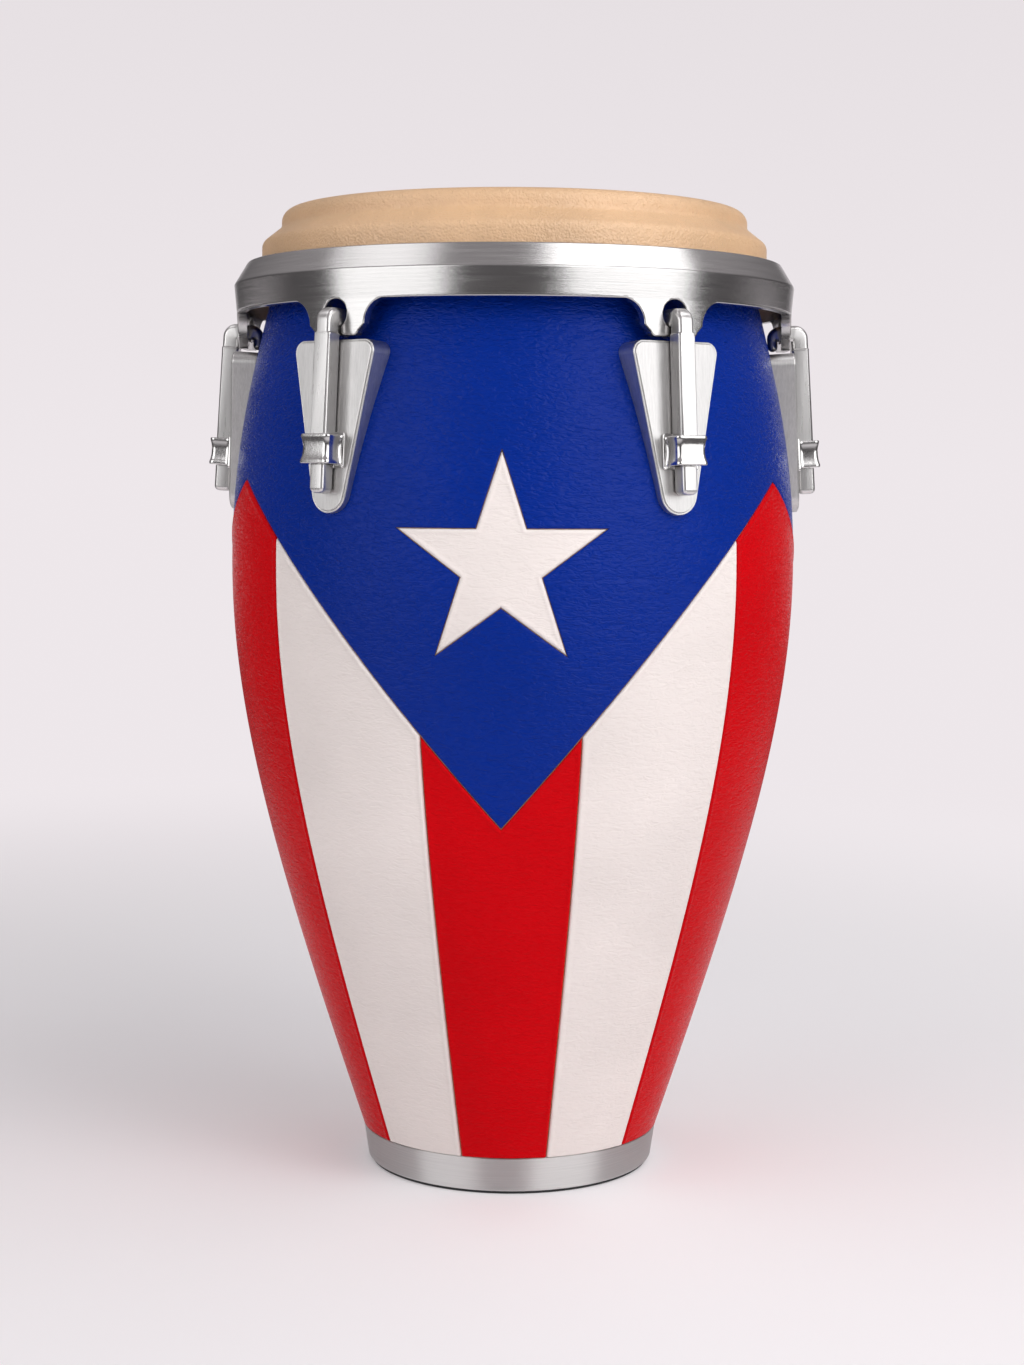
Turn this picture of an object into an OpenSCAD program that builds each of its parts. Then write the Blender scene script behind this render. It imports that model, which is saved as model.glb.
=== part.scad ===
// Conga drum: a barrel shell dressed with star-and-stripes panels, a moulded head on a flesh
// hoop, a steel rim with six ears, and six side plates whose hooks and nuts draw the rim down.
// Origin at the centre of the base, +Z up, the star faces -Y.

/* [Overall] */
// Height from the floor to the playing surface
total_h = 711; // [690:1:740]
// Running gap between pieces that seat on each other
seat_gap = 0.3; // [0.2:0.05:0.4]

/* [Shell] */
// Number of staves, a multiple of four with an odd quarter
staves = 20; // [12:8:28]
// Outer radius at the foot, panels included
foot_r = 111.8; // [105:0.1:120]
// How far the belly stands out beyond the rim
belly_over_rim = 2.6; // [1:0.1:4]
// Depth of the belly below the playing surface
belly_depth = 260.3; // [250:0.1:275]
// How far the neck lies inside the head's upper tier, panels included
neck_under_tier = 1.6; // [1:0.1:3]
// Radial thickness of a stave
shell_wall = 10; // [8:0.5:12]
// Rounding of the bearing edge
edge_round = 6; // [4:0.5:7]
// Height below the head's crease from which the neck is turned down
neck_turn_h = 7; // [5:0.5:10]

/* [Colour panels] */
// Thickness of a panel
panel_t = 1.2; // [0.8:0.1:1.6]
// Glue line between panel and shell
glue_t = 0.2; // [0.1:0.05:0.3]
// Width of the seam between two panels
seam_w = 0.6; // [0.4:0.1:1.5]
// Height of the panels' upper edge above the rim's lower edge
panel_tuck = 24; // [15:1:28]
// Half angle of the front and back red stripes
narrow_stripe_deg = 16; // [12:1:20]
// Angle from the front to the far edge of the white stripe
wide_stripe_deg = 50; // [44:1:56]
// Drop from the belly to the chevron's tip
chevron_tip_drop = 171.7; // [155:0.1:185]
// Rise from the belly to the point where the front and back chevrons meet
chevron_apex_rise = 63.9; // [50:0.1:75]
// Angle from the front to that point
chevron_apex_deg = 66; // [60:1:72]
// Rise of the front chevron's cut per unit of depth
chevron_lean = 0.13; // [0:0.01:0.3]
// Rise of the back chevron's cut per unit of width
back_chevron_spread = 0.175; // [0.1:0.005:0.3]

/* [Star] */
// Radius to the star's points, along the surface
star_r = 74.7; // [60:0.1:85]
// Rise from the belly to the star's centre
star_rise = 8.6; // [0:0.1:15]

/* [Base] */
// Height of the rubber pad
pad_h = 2; // [1.5:0.5:4]
// Radial width of the rubber pad
pad_w = 7.5; // [5:0.5:9]
// Height of the base ring
ring_h = 25.6; // [20:0.1:32]
// Wall of the base ring
ring_t = 3; // [2:0.5:4]
// Radial width of the ring's turned-in foot
ring_foot_w = 10; // [8:0.5:12]
// Taper of the ring, smaller at the floor
ring_taper = 3.3; // [1:0.1:5]
// How far the ring lies inside the panels' face
ring_set_in = 0.5; // [0.2:0.1:1]
// Rounding of the ring's lower edge
ring_round = 2.5; // [1.5:0.5:2.5]
// Rounding of the ring's upper edge
ring_edge = 1; // [0.5:0.1:1.2]

/* [Head] */
// Thickness of the moulded skin
skin_t = 2.5; // [2:0.1:2.8]
// Outer radius of the playing surface's tier
tier_r = 171.8; // [155:0.1:185]
// Rounding of the playing surface's edge
tier_round = 9; // [8.8:0.1:10]
// Height of the upper tier above its crease
tier_h = 13.6; // [12:0.1:16]
// How far the collar stands out beyond the tier
collar_over_tier = 14.5; // [13:0.1:16]
// Rounding of the collar's shoulder
collar_round = 7; // [5:0.5:9]
// Slope of the shelf between collar and tier
shelf_deg = 38; // [30:1:45]
// Radial width of the flesh hoop
hoop_w = 5.5; // [4:0.1:5.6]
// Height of the flesh hoop
hoop_h = 9; // [6:0.5:10]
// Gap between the rim's flange and the skin tucked round the hoop
tuck_gap = 3.8; // [3:0.1:5]

/* [Rim] */
// Height of the playing surface above the rim
head_rise = 39.5; // [36:0.1:44]
// Radial width of the rim's flat top
flange_w = 9.3; // [9:0.1:11]
// Height of the bevel
bevel_h = 16; // [12:0.1:20]
// Radial width of the bevel
bevel_w = 9.7; // [7:0.1:10]
// Height of the plain band under the bevel
band_h = 20; // [16:0.1:24]
// Taper of the band, smaller at its lower edge
band_taper = 1.7; // [0.5:0.1:2.5]
// Wall of the bevel, which thickens down the band
rim_wall = 4; // [3.5:0.1:4.4]
// Chamfer of the rim's upper edges
rim_edge = 0.8; // [0.4:0.1:1.2]
// Thickness of the flange that presses on the hoop
flange_t = 4.5; // [3.5:0.1:6]
// Gap between the rim's opening and the head's collar
rim_opening_gap = 1.4; // [1:0.1:1.6]

/* [Rim ears] */
// How far an ear hangs below the band
ear_drop = 24.5; // [23:0.1:26]
// Width of an ear at its lower edge
ear_w = 38.6; // [34:0.1:44]
// Thickness of an ear and of the band's lower edge
ear_t = 7; // [5:0.1:7.5]
// Radius of the fillets that blend an ear into the band
ear_fillet = 17; // [12:0.5:20]
// Widening of an ear from its lower edge to its fillets, on each side
ear_flare = 4.7; // [3:0.1:7]
// How far the fillets run up into the band, so that they cross its edge at an angle
ear_blend = 0.4; // [0.2:0.1:0.8]
// Rounding of an ear's lower corners
ear_corner = 4; // [2:0.5:6]
// Radius of the hook hole
ear_hole_r = 9.9; // [9.7:0.1:10.2]
// Height of the hook hole above the ear's lower edge
ear_hole_up = 15; // [14.5:0.1:15.5]

/* [Hooks] */
// Angle from the front to the first hook on each side
front_hook_deg = 34; // [31:0.5:35]
// Width of the hook's bar
bar_w = 13.6; // [12:0.1:14.4]
// Depth of the hook's bar
bar_d = 12.4; // [10:0.1:12.6]
// Chamfer of the bar's long edges
bar_chamfer = 1.4; // [1:0.1:2.5]
// Gap between the bar and the ear's face
ear_clear = 1; // [0.9:0.1:1.6]
// Radius of the arm that passes through the ear
arm_r = 6.5; // [6:0.1:6.6]
// Outer rounding of the hook's shoulder
shoulder_round = 10; // [8:0.1:11]
// Radius of the hook's tip
tip_r = 3.8; // [3:0.1:4]
// Length of the tip below the arm's axis
tip_drop = 12; // [10:0.1:13]
// Gap between the tip and the ear's inner face
tip_gap = 1.2; // [0.8:0.1:1.6]
// Extra radius on the outside of the bend into the tip
tip_bend = 3; // [2:0.1:4]
// Radius of the threaded shank
shank_r = 4; // [3:0.5:4]
// Running clearance of the shank in its thread and guide
thread_clear = 0.05; // [0.03:0.01:0.08]

/* [Keepers] */
// Height of a keeper
keeper_h = 20; // [18:0.1:23]
// Width of a keeper
keeper_w = 25; // [23:0.1:27]
// Wall of the keeper in front of the bar
keeper_wall = 3.6; // [2.5:0.1:4]
// Height of the flares above and below the waist
keeper_flare = 2; // [1:0.1:3]
// Depth of the waist between the flared edges
keeper_waist = 1.2; // [0.6:0.1:1.5]
// Thickness of the floor that guides the shank
keeper_floor = 5; // [4:0.1:6]
// Width of the keeper's base flange
keeper_base_w = 29; // [28:0.1:32]
// Thickness of the base flange
keeper_base_d = 2; // [1.5:0.1:2.5]
// How far the base flange reaches above and below the keeper
keeper_base_over = 2.2; // [1:0.1:3]
// Radius of the rivets that hold the keeper to its plate
rivet_r = 2; // [1.5:0.1:2.3]
// Length of a rivet in the plate
rivet_l = 2.8; // [2:0.1:3]

/* [Tension nuts] */
// Height of a nut
nut_h = 19.2; // [18:0.1:22]
// Width across the flats
nut_w = 12; // [11.5:0.1:12.4]
// Radius to which the nut's corners are turned
nut_corner_r = 7.3; // [7:0.1:7.6]
// Rounding of the nut's closed end
nut_end = 4; // [2:0.1:5]
// Gap between the nut and the plate's relief
nut_clear = 0.5; // [0.4:0.1:0.8]

/* [Side plates] */
// Height of a plate
plate_h = 117; // [112:0.5:120]
// Width of a plate at the top
plate_w = 69; // [60:0.5:74]
// Rounding of the upper corners
plate_corner = 8; // [6:0.5:10]
// Rounding of the toe
plate_toe = 15; // [14:0.5:17]
// Gap between the ear and the plate below it
plate_drop = 2; // [1.5:0.1:4]
// Thickness of a plate at its toe
toe_t = 6; // [4:0.1:7]
// Gap between the bar and the plate's face
face_gap = 0.8; // [0.6:0.1:1.4]
// Thickness of the plate's walls
plate_wall = 4; // [3.5:0.1:5]
// Depth of the bolt holes into that wall
plate_skin = 1; // [0.5:0.1:1.5]
// Width of the step round the plate's face
lip_w = 1.6; // [1:0.1:2.5]
// Depth of that step
lip_d = 0.8; // [0.4:0.1:1.2]
// Height of the keeper's lower edge above the toe
keeper_up = 32.5; // [30:0.1:36]

/* [Plate bolts] */
// Radius of a plate bolt
bolt_r = 3; // [2.5:0.5:3]
// Clearance round a bolt in shell and backing plate
bolt_clear = 0.3; // [0.2:0.1:0.5]
// Radius of a bolt's head
bolt_head_r = 5; // [4.5:0.1:5.5]
// Height of a bolt's head
bolt_head_h = 5; // [4:0.1:6]
// Width of the key socket
bolt_key_w = 5; // [4:0.1:5]
// Distance from the plate's top to the upper bolt
bolt_inset = 17; // [15:0.5:20]
// Distance between a plate's bolts
bolt_pitch = 36; // [30:0.5:38]
// Radius of the boss round a bolt
boss_r = 7; // [6:0.1:8]
// Width of the backing plate inside the shell
backing_w = 24; // [20:0.5:28]
// Thickness of the backing plate
backing_t = 4; // [3.5:0.1:5]
// Rounding of the backing plate's corners
backing_corner = 5; // [3:0.5:8]
// Depth of the seat cut into it for a bolt's head
spot_depth = 1.5; // [1.4:0.1:2]

/* [Hidden] */
$fn = 96;
lugs = 6;
lug_names = ["side_plate", "keeper", "hook", "tension_nut", "backing_plate", "plate_bolts"];
sides = ["front", "right", "back", "left"];
corners = ["front_left", "front_right", "back_left", "back_right"];

steel = "#b9bcbf";
red = "#c3050f";
white = "#e8e2de";
blue = "#002d96";

// Radii, from the head outwards
collar_r = tier_r + collar_over_tier;
opening_r = collar_r + rim_opening_gap;
rim_top_r = opening_r + flange_w;
rim_r = rim_top_r + bevel_w;
band_foot_r = rim_r - band_taper;
belly_r = rim_r + belly_over_rim;
neck_r = tier_r - neck_under_tier;

// Heights
rim_top = total_h - head_rise;
bevel_foot = rim_top - bevel_h;
band_foot = bevel_foot - band_h;
ear_foot = band_foot - ear_drop;
ring_top = pad_h + ring_h;
panel_foot = ring_top + seam_w;
panel_top = band_foot + panel_tuck;
belly_z = total_h - belly_depth;
star_z = belly_z + star_rise;
chevron_tip_z = belly_z - chevron_tip_drop;
chevron_apex_z = belly_z + chevron_apex_rise;

// Drum profile
handle_foot = [64, 194];
handle_under_belly = 112.3;
handle_over_belly = 131;
handle_neck = 60;
profile_steps = 22;
neck_steps = 14;
least_step = 0.5;

// Reach of a cut across the whole drum, and how far a cut stands over the face it opens
far = total_h;
over = 1;

function bezier(a, b, c, d, t) =
    pow(1 - t, 3) * a + 3 * pow(1 - t, 2) * t * b + 3 * (1 - t) * t * t * c + pow(t, 3) * d;
function arc(centre, r, from, to, steps = 8) =
    [for (i = [0:steps]) let (a = from + (to - from) * i / steps) centre + r * [cos(a), sin(a)]];
function lower_curve(t) =
    bezier([foot_r, panel_foot], [foot_r, panel_foot] + handle_foot,
           [belly_r, belly_z - handle_under_belly], [belly_r, belly_z], t);
function upper_curve(t) =
    bezier([belly_r, belly_z], [belly_r, belly_z + handle_over_belly],
           [neck_r, total_h - skin_t - handle_neck], [neck_r, total_h - skin_t], t);

// Outer profile of the dressed drum as [radius, height], from the foot to the bearing edge
profile = concat(
    [for (i = [0:profile_steps]) lower_curve(i / profile_steps)],
    [for (i = [1:neck_steps]) upper_curve(i / neck_steps)]
);
function skin_r(z) = lookup(z, [for (p = profile) [p.y, p.x]]);
function shell_r(z) = skin_r(z) - panel_t - glue_t;
function inner_r(z) = shell_r(z) - shell_wall;

// Profile points between two heights, moved inwards by inset
function run(z0, z1, inset) = concat(
    [[skin_r(z0) - inset, z0]],
    [for (p = profile) if (p.y > z0 + least_step && p.y < z1 - least_step) p - [inset, 0]],
    [[skin_r(z1) - inset, z1]]
);
function reversed(list) = [for (i = [len(list) - 1:-1:0]) list[i]];

// Rim, hoop and head
flange_foot = rim_top - flange_t;
ear_inner_r = band_foot_r - ear_t;
bevel_wall = rim_wall * sqrt(1 + pow(bevel_w / bevel_h, 2));
hoop_top = flange_foot - seat_gap;
hoop_foot = hoop_top - hoop_h;
hoop_r = collar_r + seat_gap;
tuck_foot = hoop_foot - seat_gap - skin_t;
tuck_top = flange_foot - tuck_gap;

// Crease between the head's tiers, outside and moved inwards by the skin
crease_z = total_h - tier_h;
function crease_in_z(inset) = crease_z - inset / cos(shelf_deg) + inset * tan(shelf_deg);

// Hook frame: its origin lies on the bar's axis at the height of the arm through the ear
ear_hole_z = ear_foot + ear_hole_up;
ear_depth = bar_d / 2 + ear_clear + ear_t;
axis_r = band_foot_r + ear_clear + bar_d / 2;
face_y = bar_d / 2 + face_gap;
toe_z = ear_foot - plate_drop - plate_h;
// Outward lean of hooks and plates, top to bottom, that leaves each plate its thickness at the toe
hook_tilt = asin((skin_r(toe_z) + toe_t + face_y - axis_r) / (ear_hole_z - toe_z));
arm_z = ear_hole_z - ear_hole_r + seat_gap + arm_r * cos(hook_tilt) + ear_depth * sin(hook_tilt);
tip_y = ear_depth + tip_gap + tip_r + tip_drop * sin(hook_tilt);
plate_top = ear_foot - plate_drop - arm_z;
plate_foot = plate_top - plate_h;
keeper_foot = plate_foot + keeper_up;
keeper_face = bar_d / 2 + seat_gap + keeper_wall;
bar_foot = keeper_foot + keeper_floor + seat_gap;
nut_top = keeper_foot - seat_gap;
nut_foot = nut_top - nut_h;
shank_foot = nut_foot + nut_end;
bolts_z = [plate_top - bolt_inset, plate_top - bolt_inset - bolt_pitch];

// Depth in the hook frame at which a bolt's axis meets a radius inside the drum
function depth_at(z, r) = (axis_r - r - z * sin(hook_tilt)) / cos(hook_tilt);
function bolt_wall_z(z) = arm_z + z * cos(hook_tilt) - (axis_r - inner_r(arm_z + z)) * sin(hook_tilt);
function bolt_seat(z) = depth_at(z, inner_r(bolt_wall_z(z)) - glue_t - backing_t) - spot_depth;

// Depth in the hook frame that lies well inside the drum's wall
deep_y = face_y + 2 * plate_w;

// The first two hooks stand beside the star, the others share the rest of the circle
back_pitch = (360 - 2 * front_hook_deg) / (lugs - 1);
function lug_deg(i) = front_hook_deg + (i - 1) * back_pitch;

// Moves its children from the hook frame of lug i to the drum
module at_lug(i) {
    rotate([0, 0, lug_deg(i)])
        translate([0, -axis_r, arm_z])
            rotate([-hook_tilt, 0, 0])
                children();
}

module at_all_lugs() {
    for (i = [1:lugs])
        at_lug(i)
            children();
}

// Upright rod in the hook frame
module rod(r, z0, z1) {
    translate([0, 0, z0])
        cylinder(r = r, h = z1 - z0);
}

// Rod along the hook frame's depth, at height z
module cross_rod(r, y0, y1, z, x = 0) {
    translate([x, y0, z])
        rotate([-90, 0, 0])
            cylinder(r = r, h = y1 - y0);
}

// Raises an outline drawn in width and height to the depth from y0 to y1
module slab(y0, y1) {
    translate([0, y1, 0])
        rotate([90, 0, 0])
            linear_extrude(y1 - y0)
                children();
}

// ---- Shell and colour panels ----

module bolt_holes() {
    at_all_lugs()
        for (z = bolts_z)
            cross_rod(bolt_r + bolt_clear, face_y, deep_y, z);
}

// Wall of the shell as [radius, height]: a spigot in the base ring, the barrel, a turned-down neck
// and the bearing edge
module shell_section() {
    spigot_r = foot_r - ring_set_in - ring_t - seat_gap;
    spigot_foot = pad_h + ring_t + seat_gap;
    edge_z = total_h - skin_t - seat_gap;
    edge_r = tier_r - skin_t - seat_gap;
    turn_z = crease_in_z(skin_t) - neck_turn_h;
    outer = concat(
        [[spigot_r - ring_taper, spigot_foot], [spigot_r, ring_top + seat_gap]],
        run(panel_foot, turn_z, panel_t + glue_t),
        [[edge_r, turn_z + neck_turn_h / 2]],
        arc([edge_r - edge_round, edge_z - edge_round], edge_round, 0, 90)
    );
    inner = concat(
        [[spigot_r - ring_taper - shell_wall, spigot_foot]],
        run(panel_foot, edge_z - edge_round, panel_t + glue_t + shell_wall),
        [[edge_r - shell_wall + edge_round / 2, edge_z]]
    );
    polygon(concat(outer, reversed(inner)));
}

// A quarter of the shell's staves, glued edge to edge
module quarter_staves(side) {
    pitch = 360 / staves;
    seam_deg = glue_t / belly_r * 180 / PI;
    middle = side == "front" ? 270 : side == "right" ? 0 : side == "back" ? 90 : 180;
    color("#c9a06a")
        difference() {
            for (i = [0:staves / 4 - 1])
                rotate([0, 0, middle - 45 + pitch * i + seam_deg / 2])
                    rotate_extrude(angle = pitch - seam_deg)
                        shell_section();
            bolt_holes();
        }
}

// Thin layer that all panels are cut from
module panel_layer(z0 = panel_foot, z1 = panel_top) {
    rotate_extrude()
        polygon(concat(run(z0, z1, 0), reversed(run(z0, z1, panel_t))));
}

// Half space above the plane z = at.z + slope.x * x + slope.y * y through the point at
module above_plane(at, slope, lift) {
    translate(at)
        rotate([0, acos(1 / norm([slope.x, slope.y, 1])), atan2(-slope.y, -slope.x)])
            translate([-far, -far, lift])
                cube([2 * far, 2 * far, far]);
}

// The region that the blue field covers, grown by grow along each cut
module chevrons(grow = 0) {
    tip_r = skin_r(chevron_tip_z);
    apex_r = skin_r(chevron_apex_z);
    apex = [apex_r * sin(chevron_apex_deg), -apex_r * cos(chevron_apex_deg), chevron_apex_z];
    rise = chevron_apex_z - chevron_tip_z;
    front = [(rise - chevron_lean * (apex.y + tip_r)) / apex.x, chevron_lean];
    back = [back_chevron_spread, -(rise - back_chevron_spread * apex.x) / (tip_r - apex.y)];
    for (slope = [front, back])
        intersection_for (s = [-1, 1])
            above_plane([s * apex.x, apex.y, apex.z], [s * slope.x, slope.y], -grow);
}

// Five-pointed star across the front, drawn along the surface
module star_outline(grow = 0) {
    inner = star_r * sin(18) / sin(54);
    edge_in = star_r * inner * sin(36) / norm([star_r - inner * cos(36), inner * sin(36)]);
    scaled = 1 + grow / edge_in;
    r = skin_r(star_z);
    points = [for (i = [0:9]) (i % 2 == 0 ? star_r : inner) * scaled * [sin(36 * i), cos(36 * i)]];
    polygon([for (p = points) [r * sin(p.x / r * 180 / PI), star_z + p.y]]);
}

module blue_field() {
    color(blue)
        difference() {
            intersection() {
                panel_layer();
                chevrons();
            }
            slab(-far, -belly_r / 2)
                star_outline(seam_w);
            bolt_holes();
        }
}

module star_inlay() {
    color(white)
        intersection() {
            panel_layer(star_z - star_r - over, star_z + star_r + over);
            slab(-far, -belly_r / 2)
                star_outline();
        }
}

// Panel between two angles counted from the front, below the chevrons
module stripe(from, to) {
    half = (to - from) / 2;
    spread = [far * cos(half), far * sin(half)];
    difference() {
        intersection() {
            panel_layer();
            rotate([0, 0, (from + to) / 2 - 90])
                translate([seam_w / 2 / sin(half), 0, 0])
                    linear_extrude(total_h)
                        polygon([[0, 0], [spread.x, -spread.y], [spread.x, spread.y]]);
        }
        chevrons(seam_w);
    }
}

module red_stripe(side) {
    middle = side == "front" ? 0 : side == "right" ? 90 : side == "back" ? 180 : 270;
    half = side == "front" || side == "back" ? narrow_stripe_deg : 90 - wide_stripe_deg;
    color(red)
        stripe(middle - half, middle + half);
}

module white_stripe(corner) {
    start = corner == "front_right" ? narrow_stripe_deg
        : corner == "back_right" ? 180 - wide_stripe_deg
        : corner == "back_left" ? 180 + narrow_stripe_deg : 360 - wide_stripe_deg;
    color(white)
        stripe(start, start + wide_stripe_deg - narrow_stripe_deg);
}

// ---- Base ----

module base_ring() {
    outer_r = foot_r - ring_set_in;
    foot = outer_r - ring_taper;
    color(steel)
        rotate_extrude()
            polygon(concat(
                [[foot - ring_foot_w, pad_h]],
                arc([foot - ring_round, pad_h + ring_round], ring_round, -90, 0),
                arc([outer_r - ring_edge, ring_top - ring_edge], ring_edge, 0, 90, 4),
                [[outer_r - ring_t, ring_top], [foot - ring_t, pad_h + ring_t],
                 [foot - ring_foot_w, pad_h + ring_t]]
            ));
}

module base_pad() {
    pad_r = foot_r - ring_set_in - ring_taper - ring_round;
    color("#202022")
        difference() {
            rod(pad_r, 0, pad_h);
            rod(pad_r - pad_w, -over, pad_h + over);
        }
}

// ---- Head ----

// Head profile from the playing surface to the collar's foot, moved inwards by inset
function head_profile(inset, foot) = let (
    tier_edge = tier_r - tier_round,
    shoulder_x = collar_r - collar_round,
    shoulder_end = shoulder_x + collar_round * sin(shelf_deg),
    shelf_drop = (shoulder_end - tier_r) * tan(shelf_deg),
    shoulder = [shoulder_x, crease_z - shelf_drop - collar_round * cos(shelf_deg)]
) concat(
    arc([tier_edge, total_h - tier_round], tier_round - inset, 90, 0),
    [[tier_r - inset, crease_in_z(inset)]],
    arc(shoulder, collar_round - inset, 90 - shelf_deg, 0),
    [[collar_r - inset, foot]]
);

module head() {
    outer = head_profile(0, tuck_foot + skin_t);
    inner = head_profile(skin_t, tuck_foot);
    tuck_in = hoop_r + hoop_w + seat_gap;
    color("#d9b27c")
        rotate_extrude()
            polygon(concat(
                [[0, total_h]],
                outer,
                [[tuck_in, tuck_foot + skin_t], [tuck_in, tuck_top], [tuck_in + skin_t, tuck_top],
                 [tuck_in + skin_t, tuck_foot]],
                reversed(inner),
                [[0, total_h - skin_t]]
            ));
}

module flesh_hoop() {
    color(steel)
        difference() {
            rod(hoop_r + hoop_w, hoop_foot, hoop_top);
            rod(hoop_r, hoop_foot - over, hoop_top + over);
        }
}

// ---- Rim ----

// Ear between its rounded lower corners and the fillets that blend it into the band
module ear_outline() {
    half = ear_w / 2;
    reach = half + ear_fillet + ear_flare;
    fillet_z = band_foot - ear_fillet + ear_blend;
    top = band_foot + 2 * over;
    polygon(concat(
        [[-reach, top]],
        arc([-reach, fillet_z], ear_fillet, 90, 0),
        arc([-half + ear_corner, ear_foot + ear_corner], ear_corner, 190, 270, 5),
        arc([half - ear_corner, ear_foot + ear_corner], ear_corner, 270, 350, 5),
        arc([reach, fillet_z], ear_fillet, 180, 90),
        [[reach, top]]
    ));
}

module rim() {
    color(steel)
        difference() {
            union() {
                rotate_extrude()
                    polygon([
                        [opening_r, flange_foot], [opening_r, rim_top - rim_edge],
                        [opening_r + rim_edge, rim_top], [rim_top_r - rim_edge, rim_top],
                        [rim_top_r + rim_edge * bevel_w / bevel_h, rim_top - rim_edge],
                        [rim_r, bevel_foot], [band_foot_r, band_foot], [ear_inner_r, band_foot],
                        [rim_r - bevel_wall, bevel_foot],
                        [rim_top_r + flange_t * bevel_w / bevel_h - bevel_wall, flange_foot]
                    ]);
                intersection() {
                    difference() {
                        rod(band_foot_r, ear_foot - over, band_foot + over);
                        rod(ear_inner_r, ear_foot - 2 * over, band_foot + 2 * over);
                    }
                    union() {
                        for (i = [1:lugs])
                            rotate([0, 0, lug_deg(i)])
                                slab(-far, -belly_r / 2)
                                    ear_outline();
                    }
                }
            }
            for (i = [1:lugs])
                rotate([0, 0, lug_deg(i)])
                    cross_rod(ear_hole_r, -far, -belly_r / 2, ear_hole_z);
        }
}

// ---- Tension lugs ----

// Rounded wedge between two upper corners and the toe, drawn inset from the plate's edge
module plate_outline(inset = 0) {
    top = [plate_w / 2 - plate_corner, plate_top - plate_corner];
    toe = [0, plate_foot + plate_toe];
    run_down = toe - top;
    normal_deg = atan2(run_down.y, run_down.x) + 90 + asin((plate_toe - plate_corner) / norm(run_down));
    polygon(concat(
        arc(top, plate_corner - inset, normal_deg, 90),
        arc([-top.x, top.y], plate_corner - inset, 90, 180 - normal_deg),
        arc(toe, plate_toe - inset, 180 - normal_deg, 360 + normal_deg, 14)
    ));
}

// The drum's outside, grown by gap, to seat a plate on
module drum_solid(gap) {
    z0 = toe_z - plate_toe;
    z1 = ear_foot + plate_toe;
    rotate_extrude()
        polygon(concat([[0, z0]], run(z0, z1, -gap), [[0, z1]]));
}

module side_plate(i) {
    blind = face_y + plate_wall - plate_skin;
    color(steel)
        difference() {
            at_lug(i)
                difference() {
                    union() {
                        slab(face_y + lip_d, deep_y - over)
                            plate_outline();
                        slab(face_y, face_y + lip_d)
                            plate_outline(lip_w);
                    }
                    difference() {
                        slab(face_y + plate_wall, deep_y)
                            plate_outline(plate_wall);
                        for (z = bolts_z)
                            cross_rod(boss_r, face_y, deep_y + over, z);
                    }
                    for (z = bolts_z)
                        cross_rod(bolt_r + thread_clear, blind, deep_y + over, z);
                    for (s = [-1, 1])
                        cross_rod(rivet_r + thread_clear, face_y - over, face_y + rivet_l + seat_gap,
                                  keeper_foot + keeper_h / 2, s * keeper_w / 2);
                    rod(nut_corner_r + nut_clear, nut_foot - nut_clear, keeper_foot);
                }
            drum_solid(seat_gap / 2);
        }
}

module keeper(i) {
    middle = keeper_foot + keeper_h / 2;
    waist_r = (pow(keeper_h / 2 - keeper_flare, 2) + pow(keeper_waist, 2)) / (2 * keeper_waist);
    slot_x = bar_w / 2 + seat_gap;
    slot_y = bar_d / 2 + seat_gap;
    color(steel)
        at_lug(i) {
            difference() {
                union() {
                    translate([-keeper_w / 2, -keeper_face, keeper_foot])
                        cube([keeper_w, keeper_face + face_y, keeper_h]);
                    translate([-keeper_base_w / 2, face_y - keeper_base_d, keeper_foot - keeper_base_over])
                        cube([keeper_base_w, keeper_base_d, keeper_h + 2 * keeper_base_over]);
                }
                translate([-slot_x, -slot_y, keeper_foot + keeper_floor])
                    cube([2 * slot_x, 2 * slot_y, keeper_h]);
                rod(shank_r + thread_clear, keeper_foot - over, middle);
                rod(nut_corner_r + nut_clear, nut_foot, keeper_foot);
                translate([0, -keeper_face - waist_r + keeper_waist, middle])
                    rotate([0, 90, 0])
                        cylinder(r = waist_r, h = keeper_w + 2 * over, center = true);
                for (s = [-1, 1])
                    cross_rod(waist_r, -keeper_face - over, face_y - keeper_base_d, middle,
                              s * (keeper_w / 2 + waist_r - keeper_waist));
            }
            for (s = [-1, 1])
                cross_rod(rivet_r, face_y - over, face_y + rivet_l, middle, s * keeper_w / 2);
        }
}

// Square bar with chamfered edges
module bar_section(w, d, chamfer) {
    x = w / 2;
    y = d / 2;
    polygon([
        [-x + chamfer, -y], [x - chamfer, -y], [x, -y + chamfer], [x, y - chamfer],
        [x - chamfer, y], [-x + chamfer, y], [-x, y - chamfer], [-x, -y + chamfer]
    ]);
}

// Side view of the hook's arm and tip, drawn in depth and height
module crook_outline() {
    front = -bar_d / 2;
    back = tip_y + tip_r;
    inner_round = tip_r + tip_bend;
    translate([front + shoulder_round, arm_r - shoulder_round])
        circle(shoulder_round);
    translate([back - inner_round, arm_r - inner_round])
        circle(inner_round);
    translate([tip_y, tip_r - tip_drop])
        circle(tip_r);
    polygon([
        [front + shoulder_round, arm_r], [back - inner_round, arm_r], [back, arm_r - inner_round],
        [back, tip_r - tip_drop], [tip_y - tip_r, tip_r - tip_drop], [tip_y - tip_r, -arm_r],
        [bar_d / 2, -arm_r], [bar_d / 2, -tip_drop], [front, -tip_drop],
        [front, arm_r - shoulder_round]
    ]);
}

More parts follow.
